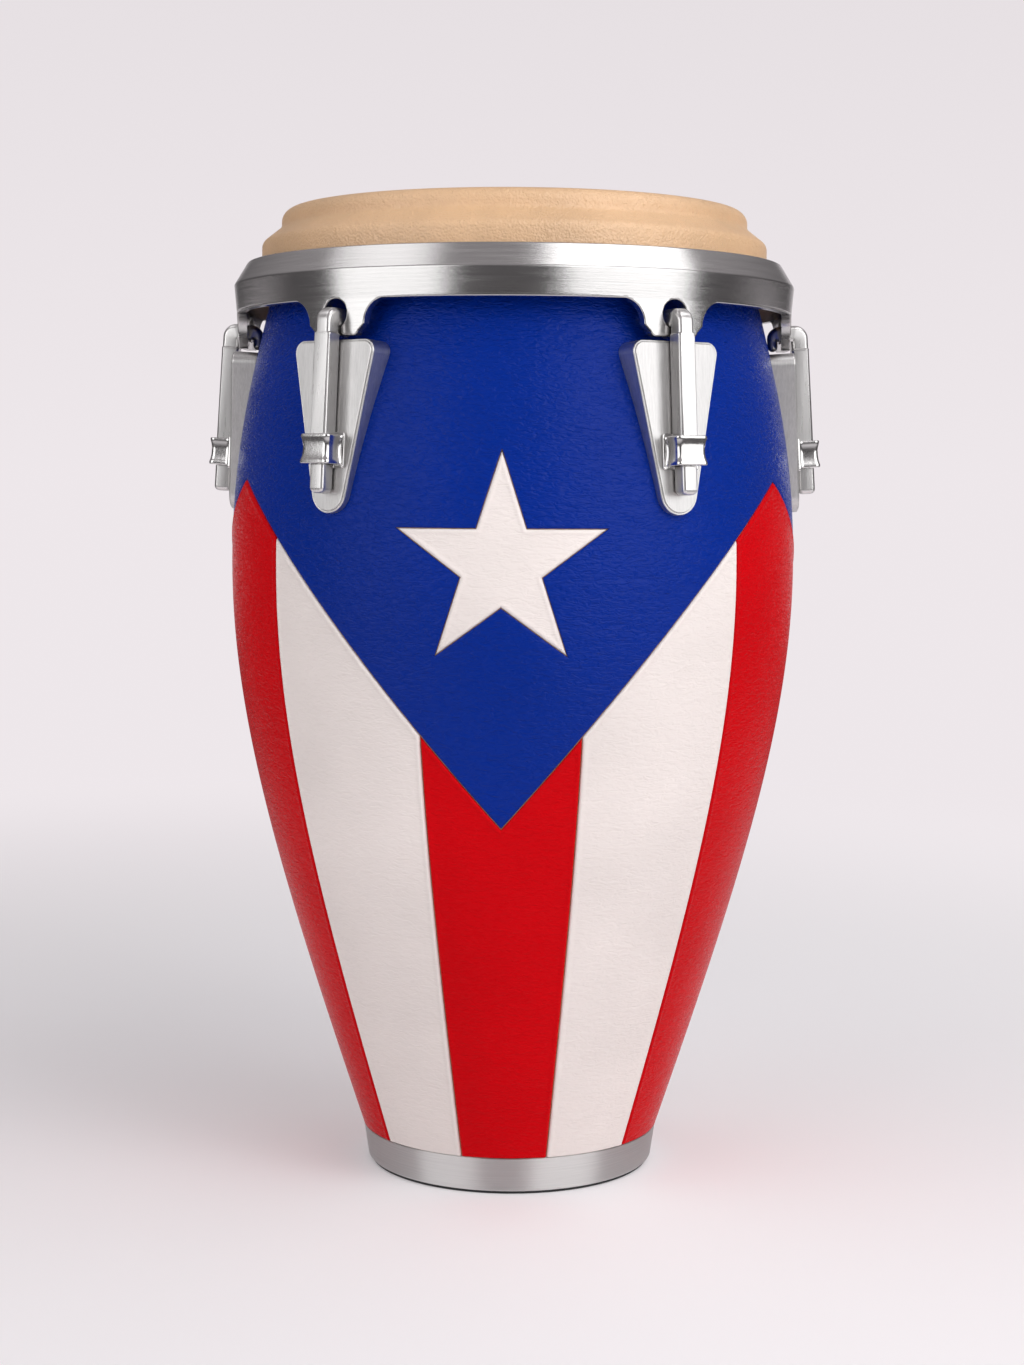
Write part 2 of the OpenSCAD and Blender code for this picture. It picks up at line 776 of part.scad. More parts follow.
module hook(i) {
    color(steel)
        at_lug(i) {
            intersection() {
                rotate([90, 0, 90])
                    translate([0, 0, -bar_w / 2])
                        linear_extrude(bar_w)
                            crook_outline();
                union() {
                    cross_rod(arm_r, -bar_d, tip_y + bar_d, 0);
                    translate([0, 0, -tip_drop - over])
                        linear_extrude(tip_drop + over)
                            bar_section(bar_w, bar_d, bar_chamfer);
                    translate([0, tip_y, 0])
                        rod(tip_r, -tip_drop, 0);
                }
            }
            translate([0, 0, bar_foot])
                linear_extrude(-bar_foot - tip_drop / 2)
                    bar_section(bar_w, bar_d, bar_chamfer);
            rod(shank_r, shank_foot, bar_foot + over);
        }
}

module tension_nut(i) {
    turned_r = nut_corner_r - nut_end;
    color(steel)
        at_lug(i)
            difference() {
                intersection() {
                    translate([-nut_w / 2, -nut_w / 2, nut_foot])
                        cube([nut_w, nut_w, nut_h]);
                    rotate_extrude()
                        polygon(concat(
                            [[0, nut_top], [nut_corner_r, nut_top]],
                            reversed(arc([turned_r, nut_foot + nut_end], nut_end, -90, 0)),
                            [[0, nut_foot]]
                        ));
                }
                rod(shank_r + thread_clear, shank_foot - seat_gap, nut_top + over);
            }
}

module backing_plate(i) {
    half_w = backing_w / 2;
    z0 = bolts_z[1] - half_w;
    z1 = bolts_z[0] + half_w;
    w0 = arm_z + z0 - backing_w;
    w1 = arm_z + z1 + backing_w;
    set_in = panel_t + glue_t + shell_wall + glue_t;
    color("#8c9094")
        difference() {
            intersection() {
                rotate_extrude()
                    polygon(concat(run(w0, w1, set_in), reversed(run(w0, w1, set_in + backing_t))));
                at_lug(i)
                    slab(face_y, deep_y) {
                        translate([-half_w, z0 + backing_corner])
                            square([backing_w, z1 - z0 - 2 * backing_corner]);
                        translate([-half_w + backing_corner, z0])
                            square([backing_w - 2 * backing_corner, z1 - z0]);
                        for (x = [-1, 1], z = [z0 + backing_corner, z1 - backing_corner])
                            translate([x * (half_w - backing_corner), z])
                                circle(backing_corner);
                    }
            }
            at_lug(i)
                for (z = bolts_z) {
                    cross_rod(bolt_r + bolt_clear, face_y, deep_y, z);
                    cross_rod(bolt_head_r + bolt_clear, bolt_seat(z), deep_y, z);
                }
        }
}

module plate_bolts(i) {
    color("#5c6064")
        at_lug(i)
            for (z = bolts_z)
                difference() {
                    union() {
                        cross_rod(bolt_r, face_y + plate_wall - plate_skin + seat_gap, bolt_seat(z) + over, z);
                        cross_rod(bolt_head_r, bolt_seat(z), bolt_seat(z) + bolt_head_h, z);
                    }
                    translate([0, bolt_seat(z) + bolt_head_h + over, z])
                        rotate([90, 0, 0])
                            cylinder(r = bolt_key_w / 2 / cos(30), h = bolt_head_h / 2 + over, $fn = 6);
                }
}

for (s = sides) quarter_staves(s);
blue_field();
star_inlay();
base_ring();
base_pad();
head();
flesh_hoop();
rim();
for (s = sides) red_stripe(s);
for (c = corners) white_stripe(c);
for (i = [1:lugs]) side_plate(i);
for (i = [1:lugs]) keeper(i);
for (i = [1:lugs]) hook(i);
for (i = [1:lugs]) tension_nut(i);
for (i = [1:lugs]) backing_plate(i);
for (i = [1:lugs]) plate_bolts(i);
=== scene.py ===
"""Looks for a conga drum: painted panels, moulded head, brushed rim and six tension lugs.

Lengths are in millimetres while a piece is modelled, and each finished mesh is scaled to metres.
The drum stands on its base at the origin, and the star faces -Y.
"""
import math
from bisect import bisect_left

import bmesh
import bpy
from mathutils import Matrix, Vector

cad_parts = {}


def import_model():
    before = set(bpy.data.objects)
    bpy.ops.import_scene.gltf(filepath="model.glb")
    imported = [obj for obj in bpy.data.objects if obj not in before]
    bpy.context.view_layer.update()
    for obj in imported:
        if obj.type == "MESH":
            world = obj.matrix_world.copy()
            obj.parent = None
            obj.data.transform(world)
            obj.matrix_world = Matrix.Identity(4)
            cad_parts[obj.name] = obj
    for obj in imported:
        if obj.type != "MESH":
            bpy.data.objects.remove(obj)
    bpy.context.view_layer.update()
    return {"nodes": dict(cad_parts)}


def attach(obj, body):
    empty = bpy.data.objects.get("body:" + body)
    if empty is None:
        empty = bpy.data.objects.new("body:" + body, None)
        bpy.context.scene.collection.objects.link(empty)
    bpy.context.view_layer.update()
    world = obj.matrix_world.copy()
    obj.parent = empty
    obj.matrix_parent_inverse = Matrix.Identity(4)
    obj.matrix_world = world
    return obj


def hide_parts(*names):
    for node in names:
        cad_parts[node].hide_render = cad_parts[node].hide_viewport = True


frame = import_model()

MM = 0.001
NODES = frame["nodes"]

# ---- Driving sizes, the same as the construction's ----

TOTAL_H = 711.0
SEAT_GAP = 0.3

FOOT_R, BELLY_R, NECK_R = 111.8, 209.3, 170.2
BELLY_Z = 450.7
PANEL_T = 1.2
SEAM_W = 0.6
NARROW_DEG, WIDE_DEG = 16.0, 50.0
CHEVRON_TIP_Z, CHEVRON_APEX_Z, CHEVRON_APEX_DEG = 279.0, 514.6, 66.0
CHEVRON_LEAN, BACK_SPREAD = 0.13, 0.175
STAR_R, STAR_Z = 74.7, 459.3

PAD_H, RING_H, RING_T, RING_FOOT_W, RING_TAPER = 2.0, 25.6, 3.0, 10.0, 3.3
RING_TOP = PAD_H + RING_H
PANEL_FOOT = RING_TOP + SEAM_W
RING_SET_IN = 0.5
RING_R = FOOT_R - RING_SET_IN
RING_ROUND, RING_EDGE, PAD_W, PAD_NICK = 2.5, 0.9, 7.5, 0.5

SKIN_T, TIER_R, TIER_ROUND, TIER_H = 2.5, 171.8, 9.0, 13.6
COLLAR_R, COLLAR_ROUND, SHELF_DEG = 186.3, 7.0, 38.0
HOOP_W, HOOP_H, TUCK_GAP = 5.5, 9.0, 3.5

HEAD_RISE = 39.5
RIM_TOP = TOTAL_H - HEAD_RISE
BEVEL_H, BAND_H = 16.0, 20.0
BEVEL_FOOT = RIM_TOP - BEVEL_H
BAND_FOOT = BEVEL_FOOT - BAND_H
RIM_R, BEVEL_W, BAND_TAPER = 206.7, 9.7, 1.7
RIM_WALL, FLANGE_T, OPENING_GAP, RIM_EDGE = 4.0, 4.5, 1.4, 1.0
BEVEL_WALL = RIM_WALL * math.hypot(1, BEVEL_W / BEVEL_H)
BAND_FOOT_R = RIM_R - BAND_TAPER
EAR_W, EAR_T, EAR_FILLET, EAR_FLARE, EAR_CORNER = 38.6, 7.0, 17.0, 4.7, 4.0
EAR_BLEND, HOLE_R, HOLE_UP = 0.4, 9.9, 15.0
EAR_DROP, PANEL_TUCK = 24.5, 24.0
EAR_FOOT = BAND_FOOT - EAR_DROP
PANEL_TOP = BAND_FOOT + PANEL_TUCK

LUGS = 6
FRONT_HOOK_DEG = 34.0
BAR_W, BAR_D, BAR_CHAMFER, ARM_R, TIP_R, TIP_DROP = 13.6, 12.4, 1.4, 6.5, 3.8, 12.0
EAR_CLEAR, TIP_GAP, SHANK_R, BORE_R = 1.0, 1.2, 4.0, 4.15
PLATE_H, PLATE_W, PLATE_CORNER, PLATE_TOE, TOE_T = 117.0, 69.0, 8.0, 15.0, 6.0
PLATE_UNDER_EAR, KEEPER_UP = 2.0, 32.5
LIP_W, LIP_D, FACE_GAP = 1.6, 0.8, 0.8
KEEPER_H, KEEPER_W, KEEPER_WALL, KEEPER_FLOOR = 20.0, 25.0, 3.6, 5.0
KEEPER_BASE_W, KEEPER_BASE_D, KEEPER_BASE_OVER = 29.0, 2.0, 2.2
NUT_H, NUT_W, NUT_CORNER_R, NUT_END = 19.2, 12.0, 7.3, 4.0

# ---- Drum profile: two curves that meet at the belly, with the pull of each end as (radius, height) ----

FOOT_PULL, BELLY_PULL_DOWN = Vector((64.0, 194.0)), Vector((0, 112.3))
BELLY_PULL_UP, NECK_PULL = Vector((0, 131.0)), Vector((0, 60.0))


def bezier(a, b, c, d, t):
    s = 1 - t
    return a * s**3 + b * (3 * s * s * t) + c * (3 * s * t * t) + d * t**3


def drum_profile(steps=160):
    """Outer profile as (radius, height), from the foot over the belly to the bearing edge."""
    foot, belly = Vector((FOOT_R, PANEL_FOOT)), Vector((BELLY_R, BELLY_Z))
    neck = Vector((NECK_R, TOTAL_H - SKIN_T))
    lower = (foot, foot + FOOT_PULL, belly - BELLY_PULL_DOWN, belly)
    upper = (belly, belly + BELLY_PULL_UP, neck - NECK_PULL, neck)
    points = [bezier(*lower, i / steps) for i in range(steps)]
    return points + [bezier(*upper, i / steps) for i in range(steps + 1)]


PROFILE = drum_profile()
PROFILE_Z = [p.y for p in PROFILE]


def skin_r(z):
    """Radius of the drum's painted surface at a height."""
    i = min(max(bisect_left(PROFILE_Z, z), 1), len(PROFILE) - 1)
    a, b = PROFILE[i - 1], PROFILE[i]
    return a.x + (b.x - a.x) * (z - a.y) / (b.y - a.y)


def arc(cx, cy, r, start, end, steps=8):
    angles = [math.radians(start + (end - start) * i / steps) for i in range(steps + 1)]
    return [Vector((cx + r * math.cos(a), cy + r * math.sin(a))) for a in angles]


# ---- Lug frame: its origin lies on the hook bar's axis at the height of the arm ----

EAR_DEPTH = BAR_D / 2 + EAR_CLEAR + EAR_T
AXIS_R = BAND_FOOT_R + EAR_CLEAR + BAR_D / 2
FACE_Y = BAR_D / 2 + FACE_GAP
TOE_Z = EAR_FOOT - PLATE_UNDER_EAR - PLATE_H
TILT = math.asin((skin_r(TOE_Z) + TOE_T + FACE_Y - AXIS_R) / (EAR_FOOT + HOLE_UP - TOE_Z))
ARM_Z = EAR_FOOT + HOLE_UP - HOLE_R + SEAT_GAP + ARM_R * math.cos(TILT) + EAR_DEPTH * math.sin(TILT)
TIP_Y = EAR_DEPTH + TIP_GAP + TIP_R + TIP_DROP * math.sin(TILT)
PLATE_TOP = EAR_FOOT - PLATE_UNDER_EAR - ARM_Z
PLATE_FOOT = PLATE_TOP - PLATE_H
KEEPER_FOOT = PLATE_FOOT + KEEPER_UP
KEEPER_FACE = BAR_D / 2 + SEAT_GAP + KEEPER_WALL
BAR_FOOT = KEEPER_FOOT + KEEPER_FLOOR + SEAT_GAP
NUT_TOP = KEEPER_FOOT - SEAT_GAP


def lug_deg(i):
    return FRONT_HOOK_DEG + (i - 1) * (360 - 2 * FRONT_HOOK_DEG) / (LUGS - 1)


def lug_matrix(i):
    turn = Matrix.Rotation(math.radians(lug_deg(i)), 4, "Z")
    return turn @ Matrix.Translation((0, -AXIS_R, ARM_Z)) @ Matrix.Rotation(-TILT, 4, "X")


def seat_depth(x, z, gap):
    """Depth in the lug frame at which a line through (x, z) meets the drum's surface."""
    y = 20.0
    for _ in range(12):
        radial = AXIS_R - (y * math.cos(TILT) + z * math.sin(TILT))
        height = ARM_Z - y * math.sin(TILT) + z * math.cos(TILT)
        y += math.hypot(radial, x) - skin_r(height) - gap
    return y


# ---- Mesh tools ----


def add_piece(name, bm, finish, body, stands_for=(), sharp_deg=32.0):
    """Turns a bmesh in millimetres into a piece of the drum that rides on a body."""
    bmesh.ops.transform(bm, matrix=Matrix.Scale(MM, 4), verts=bm.verts)
    mesh = bpy.data.meshes.new(name)
    bm.to_mesh(mesh)
    bm.free()
    mesh.polygons.foreach_set("use_smooth", [True] * len(mesh.polygons))
    mesh.set_sharp_from_angle(angle=math.radians(sharp_deg))
    mesh.materials.append(finish)
    piece = bpy.data.objects.new(name, mesh)
    bpy.context.scene.collection.objects.link(piece)
    flatten_faces(piece)
    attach(piece, body)
    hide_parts(*stands_for)
    return piece


def finish_node(name, finish):
    """Gives a CAD part that the scene shows as it is its material."""
    materials = NODES[name].data.materials
    materials.clear()
    materials.append(finish)


def flatten_faces(piece):
    """Weights the normals by area, so that the rounding of an edge doesn't shade its large faces."""
    weighted = piece.modifiers.new("weighted", "WEIGHTED_NORMAL")
    weighted.keep_sharp = True
    shaded = piece.evaluated_get(bpy.context.evaluated_depsgraph_get())
    plain = piece.data
    piece.data = bpy.data.meshes.new_from_object(shaded)
    piece.modifiers.clear()
    bpy.data.meshes.remove(plain)
    piece.data.name = piece.name


def chain(bm, points, closed=False):
    """Edges through points, given as 3-D vectors."""
    verts = [bm.verts.new(p) for p in points]
    pairs = list(zip(verts, verts[1:]))
    if closed:
        pairs.append((verts[-1], verts[0]))
    return [bm.edges.new(p) for p in pairs]


def each_once(items):
    """The items without repeats, in an order that is the same each run."""
    return list(dict.fromkeys(items))


def settle(bm):
    """Makes the mesh anew in order of place, because spin and extrude leave another order each run."""
    rank = {v: i for i, v in enumerate(sorted(bm.verts, key=lambda v: v.co[:]))}
    places = [v.co.copy() for v in rank]
    corners = []
    for face in bm.faces:
        ring = [rank[v] for v in face.verts]
        first = ring.index(min(ring))
        corners.append(ring[first:] + ring[:first])
    bm.clear()
    verts = [bm.verts.new(p) for p in places]
    for ring in sorted(corners):
        bm.faces.new([verts[i] for i in ring])


def revolve(points, steps=288, closed=True):
    """Spins a (radius, height) outline round the drum's axis."""
    bm = bmesh.new()
    edges = chain(bm, [Vector((0, -p.x, p.y)) for p in points], closed)
    verts = each_once(v for e in edges for v in e.verts)
    bmesh.ops.spin(bm, geom=verts + edges, cent=(0, 0, 0), axis=(0, 0, 1), angle=2 * math.pi,
                   steps=steps, use_merge=True)
    bmesh.ops.remove_doubles(bm, verts=bm.verts, dist=1e-4)
    settle(bm)
    bmesh.ops.recalc_face_normals(bm, faces=bm.faces)
    return bm


def loft(bm, loops, cap_start=True, cap_end=True, ring=False):
    """Skins a row of closed loops that have as many points each."""
    rows = [[bm.verts.new(p) for p in loop] for loop in loops]
    if ring:
        rows.append(rows[0])
    for a, b in zip(rows, rows[1:]):
        for i in range(len(a)):
            j = (i + 1) % len(a)
            bm.faces.new((a[i], a[j], b[j], b[i]))
    for row, wanted in ((rows[0], cap_start and not ring), (rows[-1], cap_end and not ring)):
        if wanted:
            bm.faces.new(row)


def tidy(bm):
    bmesh.ops.remove_doubles(bm, verts=bm.verts, dist=1e-3)
    bmesh.ops.recalc_face_normals(bm, faces=bm.faces)
    return bm


def eased(points, ease, steps=4):
    """Polyline whose inner corners are rounded off over a length on each side."""
    out = [points[0]]
    for a, b, c in zip(points, points[1:], points[2:]):
        p = b + (a - b).normalized() * min(ease, (a - b).length / 2.2)
        q = b + (c - b).normalized() * min(ease, (c - b).length / 2.2)
        for k in range(steps + 1):
            t = k / steps
            out.append(p * (1 - t) ** 2 + b * (2 * t * (1 - t)) + q * t * t)
    return out + [points[-1]]


def rounded_loop(half_w, half_d, corner, bulge=1.0):
    """Rectangle in width and depth whose corners are cut, straight at bulge 0 and round at 1."""
    points = []
    for x, y, start in ((1, -1, -90), (1, 1, 0), (-1, 1, 90), (-1, -1, 180)):
        bow = arc(x * (half_w - corner), y * (half_d - corner), corner, start, start + 90, 4)
        points += [bow[0].lerp(bow[4], k / 4).lerp(bow[k], bulge) for k in range(5)]
    return points


def squared(outline, half_w, half_d):
    """Points on a rectangle, in the directions of the points of another loop."""
    return [p / max(abs(p.x) / half_w, abs(p.y) / half_d) for p in outline]


def at_height(outline, z):
    return [Vector((p.x, p.y, z)) for p in outline]


# ---- Materials ----


def add_node(tree, kind, inputs=(), **settings):
    """A node whose inputs are set to values or linked to the outputs of other nodes."""
    node = tree.nodes.new(kind)
    for key, value in settings.items():
        setattr(node, key, value)
    for key, value in dict(inputs).items():
        if isinstance(value, bpy.types.NodeSocket):
            tree.links.new(value, node.inputs[key])
        else:
            node.inputs[key].default_value = value
    return node


def ramp(add, value, start, end, low, high, **settings):
    """Runs from low to high while a value runs from start to end."""
    inputs = {"Value": value, "From Min": start, "From Max": end, "To Min": low, "To Max": high}
    return add("ShaderNodeMapRange", inputs, **settings).outputs["Result"]


class Finish:
    """A principled material and the nodes that feed it."""

    def __init__(self, name, colour, roughness, metallic=0.0, **sockets):
        self.material = bpy.data.materials.new(name)
        self.material.use_nodes = True
        self.tree = self.material.node_tree
        self.bsdf = self.tree.nodes["Principled BSDF"]
        self.bsdf.inputs["Base Color"].default_value = (*colour, 1)
        self.bsdf.inputs["Roughness"].default_value = roughness
        self.bsdf.inputs["Metallic"].default_value = metallic
        for socket, value in sockets.items():
            self.bsdf.inputs[socket.replace("_", " ")].default_value = value
        self.coords = self.add("ShaderNodeTexCoord").outputs["Object"]

    def add(self, kind, inputs=(), **settings):
        return add_node(self.tree, kind, inputs, **settings)

    def stretched(self, scale):
        return self.add("ShaderNodeMapping", {"Vector": self.coords, "Scale": scale}).outputs["Vector"]

    def noise(self, vector, scale=1.0, detail=3.0, rough=0.55, distortion=0.0):
        inputs = {"Vector": vector, "Scale": scale, "Detail": detail, "Roughness": rough,
                  "Distortion": distortion}
        return self.add("ShaderNodeTexNoise", inputs).outputs["Fac"]

    def spread(self, value, low, high, start=0.3, end=0.7):
        return ramp(self.add, value, start, end, low, high)

    def add_values(self, a, b, weight):
        return self.add("ShaderNodeMath", {0: b, 1: weight, 2: a}, operation="MULTIPLY_ADD").outputs[0]

    def set_roughness(self, value):
        self.tree.links.new(value, self.bsdf.inputs["Roughness"])

    def set_tint(self, value, low, high):
        """Base colour between two colours."""
        mix = self.add("ShaderNodeMix", {"Factor": value}, data_type="RGBA")
        mix.inputs[6].default_value = (*low, 1)
        mix.inputs[7].default_value = (*high, 1)
        self.tree.links.new(mix.outputs[2], self.bsdf.inputs["Base Color"])

    def set_bump(self, height, distance, strength=1.0):
        bump = self.add("ShaderNodeBump", {"Height": height, "Distance": distance, "Strength": strength})
        self.tree.links.new(bump.outputs["Normal"], self.bsdf.inputs["Normal"])


def shade(colour, factor):
    return tuple(c * factor for c in colour)


def paint(name, colour, relief, gloss):
    """Thick satin paint whose skin has dried in fine, level wrinkles."""
    f = Finish(name, colour, 0.28, Specular_IOR_Level=gloss)
    fine = f.noise(f.stretched((130, 130, 380)), detail=1.0, distortion=1.2)
    broad = f.noise(f.stretched((38, 38, 120)), detail=2.0, distortion=0.8)
    cloud = f.noise(f.coords, scale=7.0, detail=2.0)
    relief_height = f.add_values(fine, broad, 0.7)
    f.set_bump(relief_height, 0.0015 * relief, 0.8)
    f.set_tint(f.spread(cloud, 0.0, 1.0), shade(colour, 0.93), shade(colour, 1.05))
    f.set_roughness(f.spread(fine, 0.24, 0.33))
    return f.material


def brushed(name, colour, roughness, lines, wander=0.04, worn=0.1, relief=0.35):
    """Metal brushed along one direction: lines is the noise scale along x, y and z."""
    f = Finish(name, colour, roughness, 1.0)
    long_lines = f.noise(f.stretched(lines), detail=4.0, rough=0.7)
    fine_lines = f.noise(f.stretched(tuple(2.7 * s for s in lines)), detail=3.0, rough=0.65)
    both = f.add_values(long_lines, fine_lines, 0.6)
    cloud = f.noise(f.coords, scale=11.0, detail=2.0)
    f.set_bump(both, 0.00012, relief)
    f.set_tint(f.spread(both, 0.0, 1.0, 0.5, 1.1), shade(colour, 1 - worn), shade(colour, 1 + worn))
    f.set_roughness(f.add_values(f.spread(long_lines, roughness - wander, roughness + wander), cloud, 0.04))
    return f.material


def turned(name, colour, roughness, aniso):
    """Metal brushed round the drum's axis, which draws its highlights out across the lines."""
    wander, worn = 0.05, 0.1
    f = Finish(name, colour, roughness, 1.0, Anisotropic=aniso, Anisotropic_Rotation=0.25)
    split = f.add("ShaderNodeSeparateXYZ", {"Vector": f.coords}).outputs
    flat = f.add("ShaderNodeCombineXYZ", {"X": split["X"], "Y": split["Y"]}).outputs["Vector"]
    radius = f.add("ShaderNodeVectorMath", {0: flat}, operation="LENGTH").outputs["Value"]
    across = f.add_values(split["Z"], radius, 0.8)

    def rings(along, crosswise):
        x, y, z = (f.add("ShaderNodeMath", {0: value, 1: scale}, operation="MULTIPLY").outputs[0]
                   for value, scale in ((split["X"], along), (split["Y"], along), (across, crosswise)))
        vector = f.add("ShaderNodeCombineXYZ", {"X": x, "Y": y, "Z": z}).outputs["Vector"]
        return f.noise(vector, detail=4.0, rough=0.7)

    both = f.add_values(rings(14, 900), rings(30, 2600), 0.7)
    cloud = f.noise(f.coords, scale=9.0, detail=2.0)
    f.set_bump(both, 0.00012, 0.35)
    f.set_tint(f.spread(both, 0.0, 1.0, 0.55, 1.15), shade(colour, 1 - worn), shade(colour, 1 + worn))
    rougher = f.spread(both, roughness - wander, roughness + wander, 0.55, 1.15)
    f.set_roughness(f.add_values(rougher, cloud, 0.05))
    return f.material


def moulded_skin():
    """Tan drum head with a fine pebble grain and slight mottling."""
    tan = (0.735, 0.465, 0.262)
    f = Finish("head_skin", tan, 0.4, Specular_IOR_Level=1.0)
    cells = f.add("ShaderNodeTexVoronoi", {"Vector": f.coords, "Scale": 620.0}, feature="SMOOTH_F1")
    grain = f.noise(f.coords, scale=900.0, detail=2.0)
    ripple = f.noise(f.coords, scale=120.0, detail=2.0)
    cloud = f.noise(f.coords, scale=16.0, detail=3.0)
    height = f.add_values(f.add_values(cells.outputs["Distance"], grain, 0.7), ripple, 0.8)
    f.set_bump(height, 0.0008, 0.8)
    f.set_tint(f.spread(cloud, 0.0, 1.0), shade(tan, 0.9), shade(tan, 1.08))
    f.set_roughness(f.spread(ripple, 0.35, 0.46))
    return f.material


def rubber():
    f = Finish("pad_rubber", (0.018, 0.018, 0.02), 0.75)
    f.set_bump(f.noise(f.coords, scale=700.0), 0.0002, 0.4)
    return f.material


def shell_wood():
    """Inside of the shell: oiled staves with the grain running up."""
    oak = (0.46, 0.27, 0.13)
    f = Finish("shell_wood", oak, 0.55)
    grain = f.noise(f.stretched((90, 90, 6)), detail=5.0, distortion=0.6)
    f.set_tint(f.spread(grain, 0.0, 1.0), shade(oak, 0.6), shade(oak, 1.2))
    f.set_bump(grain, 0.0003, 0.4)
    return f.material


BLUE, RED, WHITE = (0.0008, 0.022, 0.25), (0.59, 0.0016, 0.005), (0.84, 0.765, 0.735)
STEEL = (0.60, 0.59, 0.585)

blue_paint = paint("blue_paint", BLUE, 1.0, 0.1)
red_paint = paint("red_paint", RED, 0.6, 0.04)
white_paint = paint("white_paint", WHITE, 0.4, 0.05)
rim_steel = turned("rim_steel", STEEL, 0.19, aniso=0.3)
ring_steel = turned("ring_steel", shade(STEEL, 1.2), 0.43, aniso=1.0)
plate_steel = brushed("plate_steel", shade(STEEL, 1.1), 0.34, (700, 700, 30), worn=0.15)
hook_steel = brushed("hook_steel", shade(STEEL, 1.22), 0.28, (500, 500, 25), worn=0.05, relief=0.15)
keeper_steel = brushed("keeper_steel", shade(STEEL, 1.2), 0.13, (90, 90, 90), wander=0.03, worn=0.03)
inner_steel = brushed("inner_steel", shade(STEEL, 0.7), 0.4, (200, 200, 200))
head_skin = moulded_skin()
pad_rubber = rubber()
stave_wood = shell_wood()

# ---- Colour panels ----

SKIN_ROWS = 112
# How near to a bounding plane a face is cut along it
LINE_REACH, STAR_REACH = 14.0, 12.0
# How a panel's edge rises above the skin, as (distance from the edge, rise)
ROLLED = ((0.0, -0.95), (0.3, -0.35), (0.8, 0.2), (1.6, 0.55), (2.6, 0.5), (3.6, 0.18), (4.8, 0.0))
DIPPED = ((0.0, -0.95), (0.3, -0.4), (0.8, -0.08), (1.6, 0.0))


def plane_distance(p, at, slope):
    """Distance of a point above the plane through at that rises by slope along x and y."""
    rise = p.z - at.z - slope[0] * (p.x - at.x) - slope[1] * (p.y - at.y)
    return rise / math.sqrt(1 + slope[0] ** 2 + slope[1] ** 2)


def chevron_planes():
    """The two front and the two back planes, as a point, a slope and a normal."""
    tip_r, apex_r = skin_r(CHEVRON_TIP_Z), skin_r(CHEVRON_APEX_Z)
    turn = math.radians(CHEVRON_APEX_DEG)
    apex = Vector((apex_r * math.sin(turn), -apex_r * math.cos(turn), CHEVRON_APEX_Z))
    rise = CHEVRON_APEX_Z - CHEVRON_TIP_Z
    front = ((rise - CHEVRON_LEAN * (apex.y + tip_r)) / apex.x, CHEVRON_LEAN)
    back = (BACK_SPREAD, -(rise - BACK_SPREAD * apex.x) / (tip_r - apex.y))
    planes = []
    for slope in (front, back):
        for s in (1, -1):
            at = Vector((s * apex.x, apex.y, apex.z))
            tilt = (s * slope[0], slope[1])
            planes.append((at, tilt, Vector((-tilt[0], -tilt[1], 1)).normalized()))
    return planes


CHEVRONS = chevron_planes()


def field_distance(p):
    """Distance inside the blue field, negative outside it."""
    front_a, front_b, back_a, back_b = [plane_distance(p, at, slope) for at, slope, _ in CHEVRONS]
    return max(min(front_a, front_b), min(back_a, back_b))


def star_corners():
    """The star laid on the drum and seen from the front, as (across, height)."""
    inner = STAR_R * math.sin(math.radians(18)) / math.sin(math.radians(54))
    around = skin_r(STAR_Z)
    corners = []
    for i in range(10):
        r = STAR_R if i % 2 == 0 else inner
        turn = math.radians(36 * i)
        across = r * math.sin(turn)
        corners.append(Vector((around * math.sin(across / around), STAR_Z + r * math.cos(turn))))
    return corners


STAR = star_corners()
STAR_EDGES = [(STAR[i], STAR[(i + 1) % 10]) for i in range(10)]


def star_distance(p):
    """Distance inside the star as seen from the front, negative outside it."""
    q = Vector((p.x, p.z))
    nearest, inside = 1e9, False
    for a, b in STAR_EDGES:
        t = min(max((q - a).dot(b - a) / (b - a).length_squared, 0.0), 1.0)
        nearest = min(nearest, (q - a.lerp(b, t)).length)
        if (a.y > q.y) != (b.y > q.y) and q.x < a.x + (q.y - a.y) * (b.x - a.x) / (b.y - a.y):
            inside = not inside
    return nearest if inside else -nearest


def meridian_normal(deg):
    """Level normal of the plane through the axis at an angle from the front, towards larger angles."""
    turn = math.radians(deg)
    return Vector((math.cos(turn), math.sin(turn), 0))


def cut_near(bm, at, normal, reach, inside):
    """Adds an edge line where a plane crosses the faces near it."""
    faces = [f for f in bm.faces if abs((f.calc_center_median() - at).dot(normal)) < reach
             and inside(f.calc_center_median())]
    edges = each_once(e for f in faces for e in f.edges)
    verts = each_once(v for f in faces for v in f.verts)
    bmesh.ops.bisect_plane(bm, geom=[*faces, *edges, *verts], dist=1e-5, plane_co=at, plane_no=normal)


